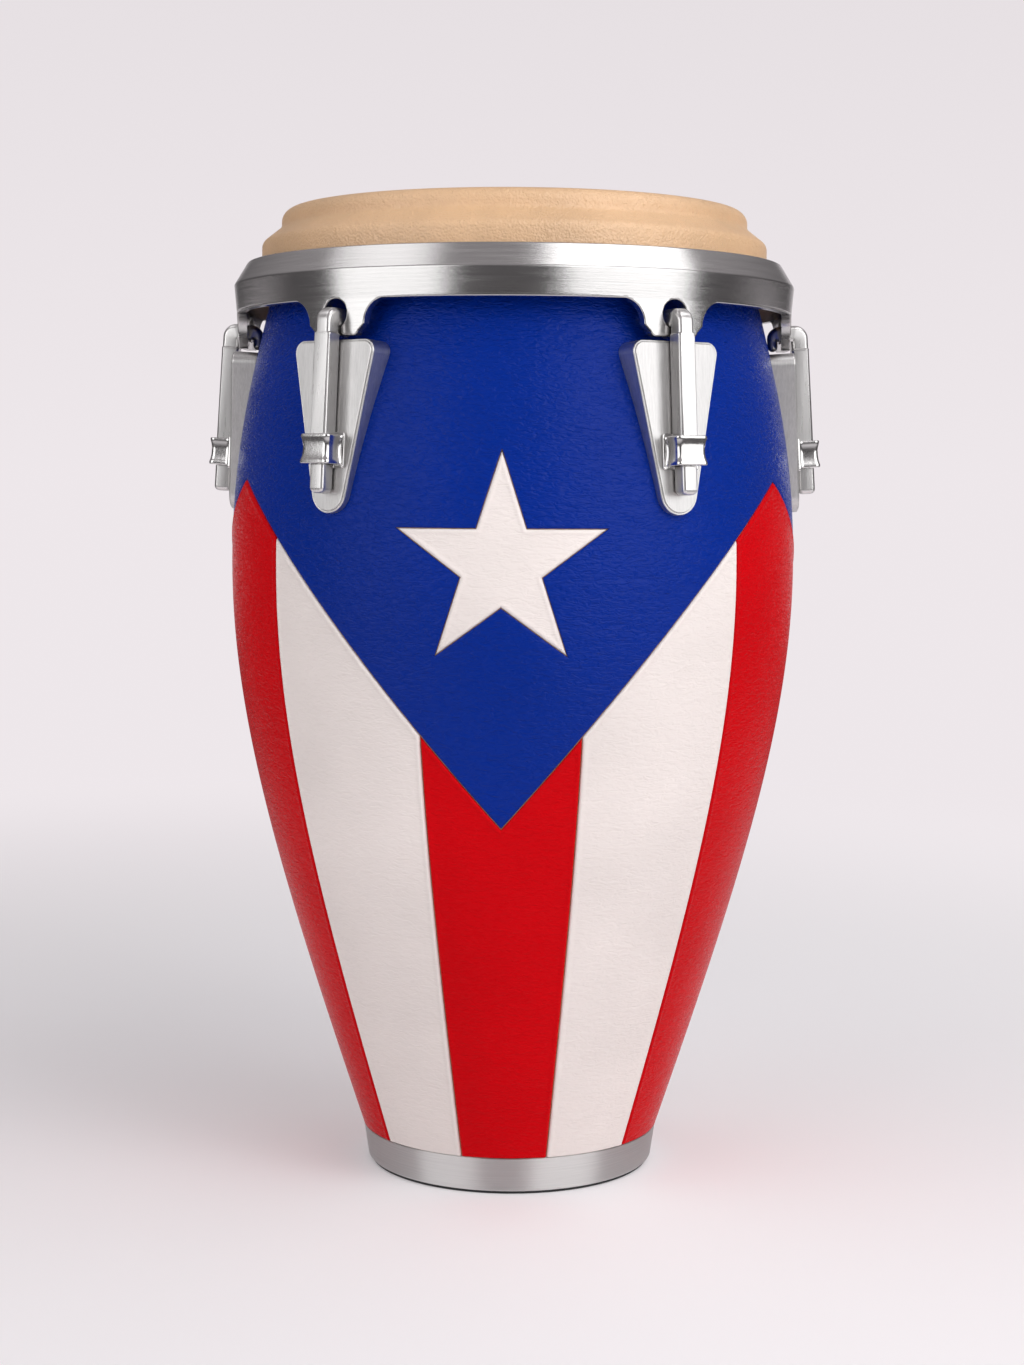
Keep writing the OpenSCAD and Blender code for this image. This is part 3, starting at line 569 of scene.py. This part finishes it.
def panel(name, finish, from_deg, to_deg, distance, lines, section, z0=PANEL_FOOT, z1=PANEL_TOP):
    """One painted panel. distance gives how far a point lies inside it, lines are the planes that
    bound it as (point, normal, reach, where), and section is how its edge rises above the skin."""
    bm = bmesh.new()
    rows = [z0 + (z1 - z0) * i / SKIN_ROWS for i in range(SKIN_ROWS + 1)]
    turn = Matrix.Rotation(math.radians(from_deg), 4, "Z")
    edges = chain(bm, [turn @ Vector((0, -skin_r(z), z)) for z in rows])
    verts = each_once(v for e in edges for v in e.verts)
    whole = to_deg - from_deg >= 360
    bmesh.ops.spin(bm, geom=verts + edges, cent=(0, 0, 0), axis=(0, 0, 1),
                   angle=math.radians(to_deg - from_deg), steps=max(2, round((to_deg - from_deg) / 2)),
                   use_merge=whole)
    if whole:
        bmesh.ops.remove_doubles(bm, verts=bm.verts, dist=1e-4)
    settle(bm)
    for at, normal, reach, where in lines:
        for depth, _ in section:
            cut_near(bm, at + normal * depth, normal, reach, where)
    stray = [f for f in bm.faces if distance(f.calc_center_median()) < 0]
    bmesh.ops.delete(bm, geom=stray, context="FACES")
    bmesh.ops.remove_doubles(bm, verts=bm.verts, dist=0.02)
    front = {v: edge_rise(distance(v.co), section) for v in bm.verts}
    made = bmesh.ops.extrude_face_region(bm, geom=bm.faces[:], use_keep_orig=True)
    for v in [g for g in made["geom"] if isinstance(g, bmesh.types.BMVert)]:
        push_out(v, -PANEL_T)
    for v, rise in front.items():
        push_out(v, rise)
    settle(bm)
    bmesh.ops.recalc_face_normals(bm, faces=bm.faces)
    return add_piece(name, bm, finish, "drum", [name], sharp_deg=50.0)


def edge_rise(distance, section):
    for (d0, h0), (d1, h1) in zip(section, section[1:]):
        if distance < d1:
            return h0 + (h1 - h0) * max(0.0, (distance - d0) / (d1 - d0))
    return 0.0


def push_out(v, rise):
    level = math.hypot(v.co.x, v.co.y)
    v.co.x *= (level + rise) / level
    v.co.y *= (level + rise) / level


def everywhere(p):
    return True


def chevron_lines(sign, shift):
    """The field's bounding planes, facing into the blue for sign 1 and out of it for -1."""
    return [(at + normal * (sign * shift), normal * sign, LINE_REACH, everywhere)
            for at, _, normal in CHEVRONS]


def star_lines(sign, shift):
    """The star's ten edges, facing into the star for sign 1 and out of it for -1."""
    lines = []
    for a, b in STAR_EDGES:
        along = b - a
        inward = Vector((along.y, 0, -along.x)).normalized() * sign

        def beside(p, a=a, b=b):
            q = Vector((p.x, p.z))
            t = min(max((q - a).dot(b - a) / (b - a).length_squared, 0.0), 1.0)
            return p.y < 0 and (q - a.lerp(b, t)).length < STAR_REACH

        lines.append((Vector((a.x, 0, a.y)) + inward * shift, inward, STAR_REACH, beside))
    return lines


def blue_distance(p):
    d = field_distance(p)
    return min(d, -star_distance(p) - SEAM_W) if p.y < 0 else d


def blue_field():
    lines = chevron_lines(1, 0.0) + star_lines(-1, SEAM_W)
    panel("blue_field", blue_paint, 0, 360, blue_distance, lines, DIPPED)


def star_inlay():
    half_deg = 24
    reach = STAR_R + 4
    panel("star_inlay", white_paint, -half_deg, half_deg, star_distance, star_lines(1, 0.0),
          ROLLED, STAR_Z - reach, STAR_Z + reach)


def stripe(name, finish, start, end):
    """A stripe between two angles from the front, under the chevrons."""
    turn = math.radians((start + end) / 2)
    middle = Vector((math.sin(turn), -math.cos(turn), 0))
    first, last = meridian_normal(start), -meridian_normal(end)

    def distance(p):
        sides = min(p.dot(first), p.dot(last)) - SEAM_W / 2
        return min(sides, -field_distance(p) - SEAM_W)

    def same_side(p):
        return p.dot(middle) > 0

    lines = [(n * (SEAM_W / 2), n, LINE_REACH, same_side) for n in (first, last)]
    panel(name, finish, start - 2, end + 2, distance, lines + chevron_lines(-1, SEAM_W), ROLLED)


def stripes():
    """Four red and four white stripes, by their angles from the front."""
    wide = WIDE_DEG - NARROW_DEG
    reds = {"front": 0, "right": 90, "back": 180, "left": 270}
    for side, middle in reds.items():
        half = NARROW_DEG if middle % 180 == 0 else 90 - WIDE_DEG
        stripe(f"red_stripe_{side}", red_paint, middle - half, middle + half)
    whites = {"front_right": NARROW_DEG, "back_right": 180 - WIDE_DEG,
              "back_left": 180 + NARROW_DEG, "front_left": 360 - WIDE_DEG}
    for corner, start in whites.items():
        stripe(f"white_stripe_{corner}", white_paint, start, start + wide)


# ---- Head, rim and base ----


def head_profile(inset, foot):
    """Head profile from the playing surface to the collar's foot, moved inwards."""
    slope = math.radians(SHELF_DEG)
    crease_z = TOTAL_H - TIER_H
    shoulder_x = COLLAR_R - COLLAR_ROUND
    drop = (shoulder_x + COLLAR_ROUND * math.sin(slope) - TIER_R) * math.tan(slope)
    shoulder_z = crease_z - drop - COLLAR_ROUND * math.cos(slope)
    crease = Vector((TIER_R - inset, crease_z - inset / math.cos(slope) + inset * math.tan(slope)))
    # A hollow of about 2 mm eases the crease between the tier and the shelf
    fillet = [crease + Vector((0, 2.2)), crease + Vector((0.25, 0.75)),
              crease + Vector((1.0, -0.55)), crease + Vector((2.2, -2.2 * math.tan(slope)))]
    return (arc(TIER_R - TIER_ROUND, TOTAL_H - TIER_ROUND, TIER_ROUND - inset, 90, 0, 12)
            + fillet + arc(shoulder_x, shoulder_z, COLLAR_ROUND - inset, 90 - SHELF_DEG, 0, 10)
            + [Vector((COLLAR_R - inset, foot))])


def head():
    tuck_in = COLLAR_R + SEAT_GAP + HOOP_W + SEAT_GAP
    hoop_top = RIM_TOP - FLANGE_T - SEAT_GAP
    foot = hoop_top - HOOP_H - SEAT_GAP - SKIN_T
    tuck_top = hoop_top - TUCK_GAP
    tuck = [Vector((tuck_in, foot + SKIN_T)), Vector((tuck_in, tuck_top)),
            Vector((tuck_in + SKIN_T, tuck_top)), Vector((tuck_in + SKIN_T, foot))]
    flat_r = 158
    surface = [Vector((r, TOTAL_H)) for r in (0, 30, 60, 90, 120, 145, flat_r)]
    under = [Vector((r, TOTAL_H - SKIN_T)) for r in (flat_r, 120, 60, 0)]
    outline = surface + head_profile(0, foot + SKIN_T) + tuck + head_profile(SKIN_T, foot)[::-1] + under
    bm = revolve(outline, closed=False)
    add_piece("head_skin", bm, head_skin, "drum", ["head"])


def base():
    foot = RING_R - RING_TAPER
    outline = ([Vector((foot - RING_FOOT_W, PAD_H))]
               + arc(foot - RING_ROUND, PAD_H + RING_ROUND, RING_ROUND, -90, 0)
               + arc(RING_R - RING_EDGE, RING_TOP - RING_EDGE, RING_EDGE, 0, 90, 5)
               + [Vector((RING_R - RING_T, RING_TOP)), Vector((foot - RING_T, PAD_H + RING_T)),
                  Vector((foot - RING_FOOT_W, PAD_H + RING_T))])
    add_piece("base_ring_turned", revolve(outline), ring_steel, "drum", ["base_ring"])
    outer = foot - RING_ROUND
    inner = outer - PAD_W
    pad = [Vector((inner, 0)), Vector((outer - PAD_NICK, 0)), Vector((outer, PAD_NICK)),
           Vector((outer, PAD_H)), Vector((inner, PAD_H))]
    add_piece("base_pad_rubber", revolve(pad), pad_rubber, "drum", ["base_pad"])


def rim_outer(z):
    """Radius of the band's outside, which narrows to its lower edge and stays so down the ears."""
    return BAND_FOOT_R + BAND_TAPER * min(max((z - BAND_FOOT) / BAND_H, 0.0), 1.0)


def rim_inner(z):
    foot_r = BAND_FOOT_R - EAR_T
    bevel_r = RIM_R - BEVEL_WALL
    return foot_r + (bevel_r - foot_r) * min(max((z - BAND_FOOT) / BAND_H, 0.0), 1.0)


def ear_line(middle, inset):
    """Lower edge of an ear, unrolled to arc length and height and drawn inset from its edge."""
    half = EAR_W / 2
    reach = half + EAR_FILLET + EAR_FLARE
    corner_z, fillet_z = EAR_FOOT + EAR_CORNER, BAND_FOOT - EAR_FILLET + EAR_BLEND
    meets = math.degrees(math.asin(1 - EAR_BLEND / EAR_FILLET))
    line = (arc(-reach, fillet_z, EAR_FILLET + inset, meets, 0, 12)
            + arc(-half + EAR_CORNER, corner_z, EAR_CORNER - inset, 190, 270, 8)
            + arc(half - EAR_CORNER, corner_z, EAR_CORNER - inset, 270, 350, 8)
            + arc(reach, fillet_z, EAR_FILLET + inset, 180, 180 - meets, 12))
    return unrolled(line, middle)


def unrolled(line, middle):
    return [Vector((middle + BAND_FOOT_R * math.asin(p.x / BAND_FOOT_R), p.y)) for p in line]


def apron(top_z, steps):
    """Band and ears: modelled unrolled as arc length, depth and height, and wrapped round the drum."""
    length = 2 * math.pi * BAND_FOOT_R
    middles = [BAND_FOOT_R * math.radians(lug_deg(i)) for i in range(1, LUGS + 1)]
    turns = [math.radians(a) for a in (0, 30, 60, 90)]
    section = [(0.0, EAR_T)] + [(RIM_EDGE * (1 - math.cos(a)), RIM_EDGE * (1 - math.sin(a))) for a in turns]
    bm = bmesh.new()

    def row(line, depth):
        return [bm.verts.new((p.x, depth, p.y)) for p in line]

    def skirt(rows, closed):
        for a, b in zip(rows, rows[1:]):
            for i in range(len(a) - (not closed)):
                j = (i + 1) % len(a)
                bm.faces.new((a[i], a[j], b[j], b[i]))

    def loop_edges(line, closed):
        ends = line[1:] + line[:1] if closed else line[1:]
        return [bm.edges.get(pair) or bm.edges.new(pair) for pair in zip(line, ends)]

    feet = []
    for inset, depth in section:
        line = [Vector((0, BAND_FOOT + inset))]
        for middle in middles:
            line += ear_line(middle, inset)
        feet.append(row(line + [Vector((length, BAND_FOOT + inset))], depth))
    skirt(feet, False)
    holes = []
    for middle in middles:
        holes.append([row(unrolled(arc(0, EAR_FOOT + HOLE_UP, HOLE_R + inset, 0, 352.5, 47), middle), depth)
                      for inset, depth in section])
        skirt(holes[-1], True)
    for side in (0, -1):
        depth = section[side][1]
        frame_line = row([Vector((length, top_z)), Vector((0, top_z))], depth)
        edges = loop_edges(feet[side] + frame_line, True)
        for hole in holes:
            edges += loop_edges(hole[side], True)
        bmesh.ops.triangle_fill(bm, use_beauty=True, use_dissolve=False, edges=edges, normal=(0, -1, 0))
    cuts = [((length * k / steps, 0, 0), (1, 0, 0)) for k in range(1, steps)]
    for at, normal in cuts + [((0, 0, BAND_FOOT), (0, 0, 1))]:
        bmesh.ops.bisect_plane(bm, geom=bm.verts[:] + bm.edges[:] + bm.faces[:], dist=1e-4,
                               plane_co=at, plane_no=normal)
    for v in bm.verts:
        s, depth, z = v.co
        r = rim_inner(z) if depth > EAR_T - 0.01 else rim_outer(z) - depth
        v.co.x, v.co.y = r * math.sin(s / BAND_FOOT_R), -r * math.cos(s / BAND_FOOT_R)
    return bm


def rim():
    """Flange, bevel and upper band are turned, and the band runs on into the ears."""
    steps = 288
    top_z = BAND_FOOT + 5.0
    opening_r = COLLAR_R + OPENING_GAP
    top_r = RIM_R - BEVEL_W
    outside = [Vector((rim_outer(top_z), top_z)), Vector((RIM_R, BEVEL_FOOT)), Vector((top_r, RIM_TOP)),
               Vector((opening_r, RIM_TOP)), Vector((opening_r, RIM_TOP - FLANGE_T))]
    inside = [Vector((top_r + FLANGE_T * BEVEL_W / BEVEL_H - BEVEL_WALL, RIM_TOP - FLANGE_T)),
              Vector((RIM_R - BEVEL_WALL, BEVEL_FOOT)), Vector((rim_inner(top_z), top_z))]
    bm = revolve(eased(outside, RIM_EDGE) + inside, steps, closed=False)
    lower = bpy.data.meshes.new("apron")
    wrapped = apron(top_z, steps)
    wrapped.to_mesh(lower)
    wrapped.free()
    bm.from_mesh(lower)
    bpy.data.meshes.remove(lower)
    add_piece("rim_steel", tidy(bm), rim_steel, "rim", ["rim"])


# ---- Tension lugs ----


def add_lug_piece(name, i, bm, finish, body, stands_for, sharp_deg):
    """Places a piece modelled in the lug frame at the drum's i-th lug."""
    tidy(bm)
    bmesh.ops.transform(bm, matrix=lug_matrix(i), verts=bm.verts)
    add_piece(f"{name}_{i}", bm, finish, body, [f"{stands_for}_{i}"], sharp_deg)


def plate_outline(inset=0.0):
    """Rounded wedge in width and height, counter-clockwise from the right side."""
    top = Vector((PLATE_W / 2 - PLATE_CORNER, PLATE_TOP - PLATE_CORNER))
    toe = Vector((0, PLATE_FOOT + PLATE_TOE))
    down = toe - top
    side = math.degrees(math.atan2(down.y, down.x) + math.asin((PLATE_TOE - PLATE_CORNER) / down.length)) + 90
    corner, end = PLATE_CORNER - inset, PLATE_TOE - inset
    return (arc(top.x, top.y, corner, side, 90, 10) + arc(-top.x, top.y, corner, 90, 180 - side, 10)
            + arc(toe.x, toe.y, end, 180 - side, 360 + side, 24))


def side_plate(i):
    """Wedge with a stepped face, whose back follows the drum."""
    ledge, over_skin = FACE_Y + LIP_D, 0.15
    lip = [(0.0, ledge + 1.0), (0.15, ledge + 0.4), (0.5, ledge + 0.05), (1.0, ledge), (LIP_W, ledge + 0.25)]
    face = [(LIP_W, FACE_Y + 0.4), (LIP_W + 0.2, FACE_Y + 0.1), (LIP_W + 0.6, FACE_Y)]
    loops = [[Vector((p.x, seat_depth(p.x, p.y, over_skin), p.y)) for p in plate_outline()]]
    for inset, y in lip + face:
        loops.append([Vector((p.x, y, p.y)) for p in plate_outline(inset)])
    bm = bmesh.new()
    loft(bm, loops)
    add_lug_piece("side_plate_cast", i, bm, plate_steel, "drum", "side_plate", 32.0)


def saddle_loop(waist):
    """Keeper in width and depth: round in front, spread towards the plate."""
    w, front, r = KEEPER_W / 2 - waist, KEEPER_FACE - waist, 3.4
    right = (arc(w - r, r - front, r, -90, 0, 6)
             + [Vector((w, FACE_Y - 4.5)), Vector((w + 0.2, FACE_Y - 3.2)), Vector((w + 0.9, FACE_Y - 2.2)),
                Vector((w + 1.7, FACE_Y - 1.8)), Vector((w + 1.7, FACE_Y))])
    return right + [Vector((-p.x, p.y)) for p in reversed(right)]


def keeper_base(bm, side):
    """Half of the keeper's flat base, on one side of the saddle."""
    notch, half = 6.3, KEEPER_BASE_W / 2
    low, high = KEEPER_FOOT - KEEPER_BASE_OVER, KEEPER_FOOT + KEEPER_H + KEEPER_BASE_OVER
    corners = [Vector((notch, high)), Vector((half, high)), Vector((half, low)), Vector((notch, low))]
    outline = [Vector((x * side, z)) for x, z in eased(corners, 1.8)]
    layers = ((FACE_Y, 0.0), (FACE_Y - 1.5, 0.0), (FACE_Y - 1.9, 0.2), (FACE_Y - KEEPER_BASE_D, 0.6))
    middle = (low + high) / 2
    loft(bm, [[Vector((p.x - side * pull, y, p.y + math.copysign(pull, middle - p.y))) for p in outline]
              for y, pull in layers])


def keeper(i):
    """Waisted saddle on a flat base: it holds the bar and has a bored floor for the shank."""
    bm = bmesh.new()
    rise = [(0.0, 0.7), (0.25, 0.2), (0.8, 0.0), (1.9, 0.0), (3.2, 0.35), (5.0, 0.78), (7.4, 1.1)]
    stations = rise + [(KEEPER_H / 2, 1.2)] + [(KEEPER_H - h, waist) for h, waist in reversed(rise)]
    loops = [at_height(saddle_loop(waist), KEEPER_FOOT + h) for h, waist in stations]
    like = saddle_loop(0.0)
    slot = squared(like, BAR_W / 2 + SEAT_GAP, BAR_D / 2 + SEAT_GAP)
    bore = [p.normalized() * BORE_R for p in like]
    floor_z = KEEPER_FOOT + KEEPER_FLOOR
    loops += [at_height(slot, KEEPER_FOOT + KEEPER_H), at_height(slot, floor_z), at_height(bore, floor_z),
              at_height(bore, KEEPER_FOOT)]
    loft(bm, loops, ring=True)
    keeper_base(bm, -1)
    keeper_base(bm, 1)
    add_lug_piece("keeper_saddle", i, bm, keeper_steel, "drum", "keeper", 48.0)


def hook(i):
    """Square bar that turns over at the top, passes through the ear and hangs down behind it."""
    half_w, half_d = BAR_W / 2, BAR_D / 2
    square = rounded_loop(half_w, half_d, BAR_CHAMFER, 0.15)
    blunt = rounded_loop(half_w - 0.6, half_d - 0.6, BAR_CHAMFER, 0.15)
    collar = rounded_loop(half_w + 0.2, half_d + 0.2, 2.0, 0.5)
    neck = rounded_loop(half_w - 0.8, half_d - 0.1, 2.4, 0.7)
    arm = rounded_loop(ARM_R - 0.2, ARM_R - 0.2, 3.6, 0.9)
    tip = rounded_loop(TIP_R, TIP_R, TIP_R - 0.05)
    bend, turn_r = 3.4, 4.6
    inner_corner = Vector((half_d, -half_d))
    loops = []

    def station(y, z, lean, outline, mitre=False):
        """Cross-section at a point, leaning from upright (0) to level (90 degrees) and on."""
        away = Vector((math.cos(lean), -math.sin(lean)))
        loop = []
        for p in outline:
            at = Vector((y, z)) + away * p.y
            if mitre and p.y > 0:
                at = Vector((y, z)).lerp(inner_corner, p.y / half_d)
            loop.append(Vector((p.x, at.x, at.y)))
        loops.append(loop)

    station(0, BAR_FOOT, 0.0, blunt)
    station(0, BAR_FOOT + 0.6, 0.0, square)
    swell = ((-12.8, square), (-12.2, collar), (-11.6, collar), (-10.6, neck), (-half_d, neck))
    for z, outline in swell:
        station(0, z, 0.0, outline)
    for a in range(0, 91, 10):
        outline = [p.lerp(q, a / 90) for p, q in zip(neck, arm)]
        station(bend * (1 - math.cos(math.radians(a))), bend * (math.sin(math.radians(a)) - 1),
                math.radians(a), outline, mitre=True)
    station(half_d + 0.1, 0, math.pi / 2, arm)
    for a in range(0, 91, 15):
        lean = math.radians(a)
        station(TIP_Y - turn_r * (1 - math.sin(lean)), -turn_r * (1 - math.cos(lean)), math.pi / 2 + lean,
                [p.lerp(q, a / 90) for p, q in zip(arm, tip)])
    for a in (0, 30, 55, 75, 88):
        close = math.radians(a)
        end_z = TIP_R - TIP_DROP - TIP_R * math.sin(close)
        station(TIP_Y, end_z, math.pi, [p * math.cos(close) for p in tip])
    bm = bmesh.new()
    loft(bm, loops)
    shank = rounded_loop(SHANK_R, SHANK_R, SHANK_R - 0.05)
    loft(bm, [at_height(shank, NUT_TOP - NUT_H + NUT_END), at_height(shank, BAR_FOOT + 1)])
    add_lug_piece("hook_forged", i, bm, hook_steel, f"hook_{i}", "hook", 38.0)


def tension_nut(i):
    """Square cap nut with turned corners and a domed end, bored for the shank."""
    foot, half = NUT_TOP - NUT_H, NUT_W / 2
    corner = (half - NUT_CORNER_R * math.cos(math.radians(45))) * 2.2
    dome = ((0.0, 3.4), (0.15, 2.4), (0.6, 1.4), (1.4, 0.65), (2.4, 0.2), (3.6, 0.0))
    top_edge = ((NUT_H - 0.5, 0.0), (NUT_H - 0.1, 0.15), (NUT_H, 0.5))
    loops = []
    for h, pull in dome + top_edge:
        outline = rounded_loop(half - pull, half - pull, corner + 0.35 * pull, 0.3 + 0.2 * pull)
        loops.append(at_height(outline, foot + h))
    bore = rounded_loop(BORE_R, BORE_R, BORE_R - 0.05)
    loops += [at_height(bore, NUT_TOP), at_height(bore, foot + NUT_END - SEAT_GAP)]
    bm = bmesh.new()
    loft(bm, loops)
    add_lug_piece("nut_square", i, bm, hook_steel, f"nut_{i}", "tension_nut", 38.0)


# ---- Studio, in metres ----

BACKDROP, FLOOR, ROOM = (0.835, 0.785, 0.81), (0.755, 0.735, 0.75), (0.35, 0.345, 0.35)
# Strengths of the backdrop's colour: low down, high up, and where metal mirrors the room in front of the drum
GLOW, HIGH_GLOW, DARK_ROOM = 1.02, 0.95, 0.12
FLOOR_R, FLOOR_LIFT, FADE_FROM, FADE_TO = 40.0, 0.2, 0.5, 2.2


def seen(add):
    """1 for the rays that show the backdrop: the camera's, and those that metal and glass send on."""
    path = add("ShaderNodeLightPath").outputs
    rays = [path[f"Is {kind} Ray"] for kind in ("Camera", "Glossy", "Transmission")]
    some = add("ShaderNodeMath", {0: rays[0], 1: rays[1]}, operation="ADD").outputs[0]
    return add("ShaderNodeMath", {0: some, 1: rays[2]}, operation="ADD", use_clamp=True).outputs[0]


def floor():
    """Pale floor that keeps the drum's shadow and fades into the backdrop's colour."""
    bm = bmesh.new()
    bmesh.ops.create_circle(bm, cap_ends=True, radius=FLOOR_R, segments=96)
    mesh = bpy.data.meshes.new("studio_floor")
    bm.to_mesh(mesh)
    bm.free()
    slab = bpy.data.objects.new("studio_floor", mesh)
    bpy.context.scene.collection.objects.link(slab)
    f = Finish("studio_floor", FLOOR, 0.8, Specular_IOR_Level=0.1)
    shown = seen(f.add)
    f.bsdf.inputs["Emission Color"].default_value = (*BACKDROP, 1)
    lift = f.add("ShaderNodeMath", {0: shown, 1: FLOOR_LIFT}, operation="MULTIPLY").outputs[0]
    f.tree.links.new(lift, f.bsdf.inputs["Emission Strength"])
    reach = f.add("ShaderNodeVectorMath", {0: f.coords}, operation="LENGTH").outputs["Value"]
    fade = ramp(f.add, reach, FADE_FROM, FADE_TO, 0.0, 1.0, interpolation_type="SMOOTHSTEP")
    amount = f.add("ShaderNodeMath", {0: fade, 1: shown}, operation="MULTIPLY").outputs[0]
    depth = f.add("ShaderNodeSeparateXYZ", {"Vector": f.coords}).outputs["Y"]
    behind = ramp(f.add, depth, 4.5, 7.0, DARK_ROOM, GLOW)
    direct = f.add("ShaderNodeLightPath").outputs["Is Camera Ray"]
    strength = f.add("ShaderNodeMix", {"Factor": direct, "A": behind, "B": GLOW}).outputs[0]
    glow = f.add("ShaderNodeEmission", {"Color": (*BACKDROP, 1), "Strength": strength}).outputs[0]
    mix = f.add("ShaderNodeMixShader", {0: amount, 1: f.bsdf.outputs[0], 2: glow}).outputs[0]
    f.tree.links.new(mix, f.tree.nodes["Material Output"].inputs["Surface"])
    mesh.materials.append(f.material)


def softbox(name, azimuth, distance, height, size, power, aim_z=0.4, mirrored=True):
    """A rectangular lamp. Azimuth 0 stands in front of the drum, 90 to its right, and metal shows it
    where it is mirrored."""
    lamp = bpy.data.lights.new(name, "AREA")
    lamp.shape = "RECTANGLE"
    lamp.size, lamp.size_y = size
    lamp.energy = power
    turn = math.radians(azimuth)
    place = Vector((distance * math.sin(turn), -distance * math.cos(turn), height))
    stand = bpy.data.objects.new(name, lamp)
    stand.visible_camera, stand.visible_glossy = False, mirrored
    stand.location = place
    stand.rotation_euler = (Vector((0, 0, aim_z)) - place).to_track_quat("-Z", "Y").to_euler()
    bpy.context.scene.collection.objects.link(stand)


def world():
    """A dim room that lights the drum. The camera sees the pale backdrop on all sides, and metal mirrors
    it behind the drum, a grey ceiling above and a dark room in front."""
    w = bpy.data.worlds.new("studio")
    bpy.context.scene.world = w
    w.use_nodes = True
    tree = w.node_tree
    tree.nodes.clear()

    def add(kind, inputs=(), **settings):
        return add_node(tree, kind, inputs, **settings)

    split = add("ShaderNodeSeparateXYZ", {"Vector": add("ShaderNodeTexCoord").outputs["Generated"]}).outputs
    ceiling = ramp(add, split["Z"], 0.15, 0.6, DARK_ROOM, 0.42)
    behind = ramp(add, split["Y"], 0.9, 0.99, ceiling, 1.0, interpolation_type="SMOOTHSTEP")
    wall = ramp(add, split["Z"], 0.0, 0.2, GLOW, HIGH_GLOW)
    direct = add("ShaderNodeLightPath").outputs["Is Camera Ray"]
    strength = add("ShaderNodeMix", {"Factor": direct, "A": behind, "B": wall}).outputs[0]
    shown = add("ShaderNodeBackground", {"Color": (*BACKDROP, 1), "Strength": strength}).outputs[0]
    room = add("ShaderNodeBackground", {"Color": (*ROOM, 1)}).outputs[0]
    mix = add("ShaderNodeMixShader", {0: seen(add), 1: room, 2: shown}).outputs[0]
    add("ShaderNodeOutputWorld", {"Surface": mix})


def camera():
    """The photograph's viewpoint, found from the ellipses of base, rim and head."""
    focal_px, photo_h_px = 2323.0, 1365.0
    distance, height = 1.747, 0.5188
    turn, pitch, roll = math.radians(2.12), math.radians(5.125), math.radians(0.324)
    cam = bpy.data.objects.new("camera", bpy.data.cameras.new("camera"))
    cam.data.sensor_width = 36.0
    cam.data.lens = focal_px / photo_h_px * cam.data.sensor_width
    place = Matrix.Translation((distance * math.sin(turn), -distance * math.cos(turn), height))
    cam.matrix_world = (place @ Matrix.Rotation(turn, 4, "Z") @ Matrix.Rotation(math.pi / 2 - pitch, 4, "X")
                        @ Matrix.Rotation(roll, 4, "Z"))
    bpy.context.scene.collection.objects.link(cam)
    bpy.context.scene.camera = cam


camera()
world()
floor()
softbox("key_right", 47, 2.2, 1.1, (2.4, 1.7), 25)
softbox("fill_left", -47, 2.2, 0.9, (2.0, 1.4), 14.5)
softbox("top_right", 64, 1.2, 2.56, (2.0, 0.9), 12, 0.66)
softbox("top_left", -77, 1.26, 2.46, (1.35, 0.8), 4, 0.66)
softbox("shadow_maker", 42, 2.0, 1.9, (0.9, 0.9), 9.5, mirrored=False)
softbox("back_right", 152, 2.3, 0.8, (1.6, 1.1), 10, mirrored=False)
bpy.context.scene.view_settings.view_transform = "Standard"

blue_field()
star_inlay()
stripes()
head()
rim()
base()
for lug in range(1, LUGS + 1):
    side_plate(lug)
    keeper(lug)
    hook(lug)
    tension_nut(lug)
    finish_node(f"backing_plate_{lug}", inner_steel)
    finish_node(f"plate_bolts_{lug}", inner_steel)
for side in ("front", "right", "back", "left"):
    finish_node(f"staves_{side}", stave_wood)
finish_node("flesh_hoop", inner_steel)
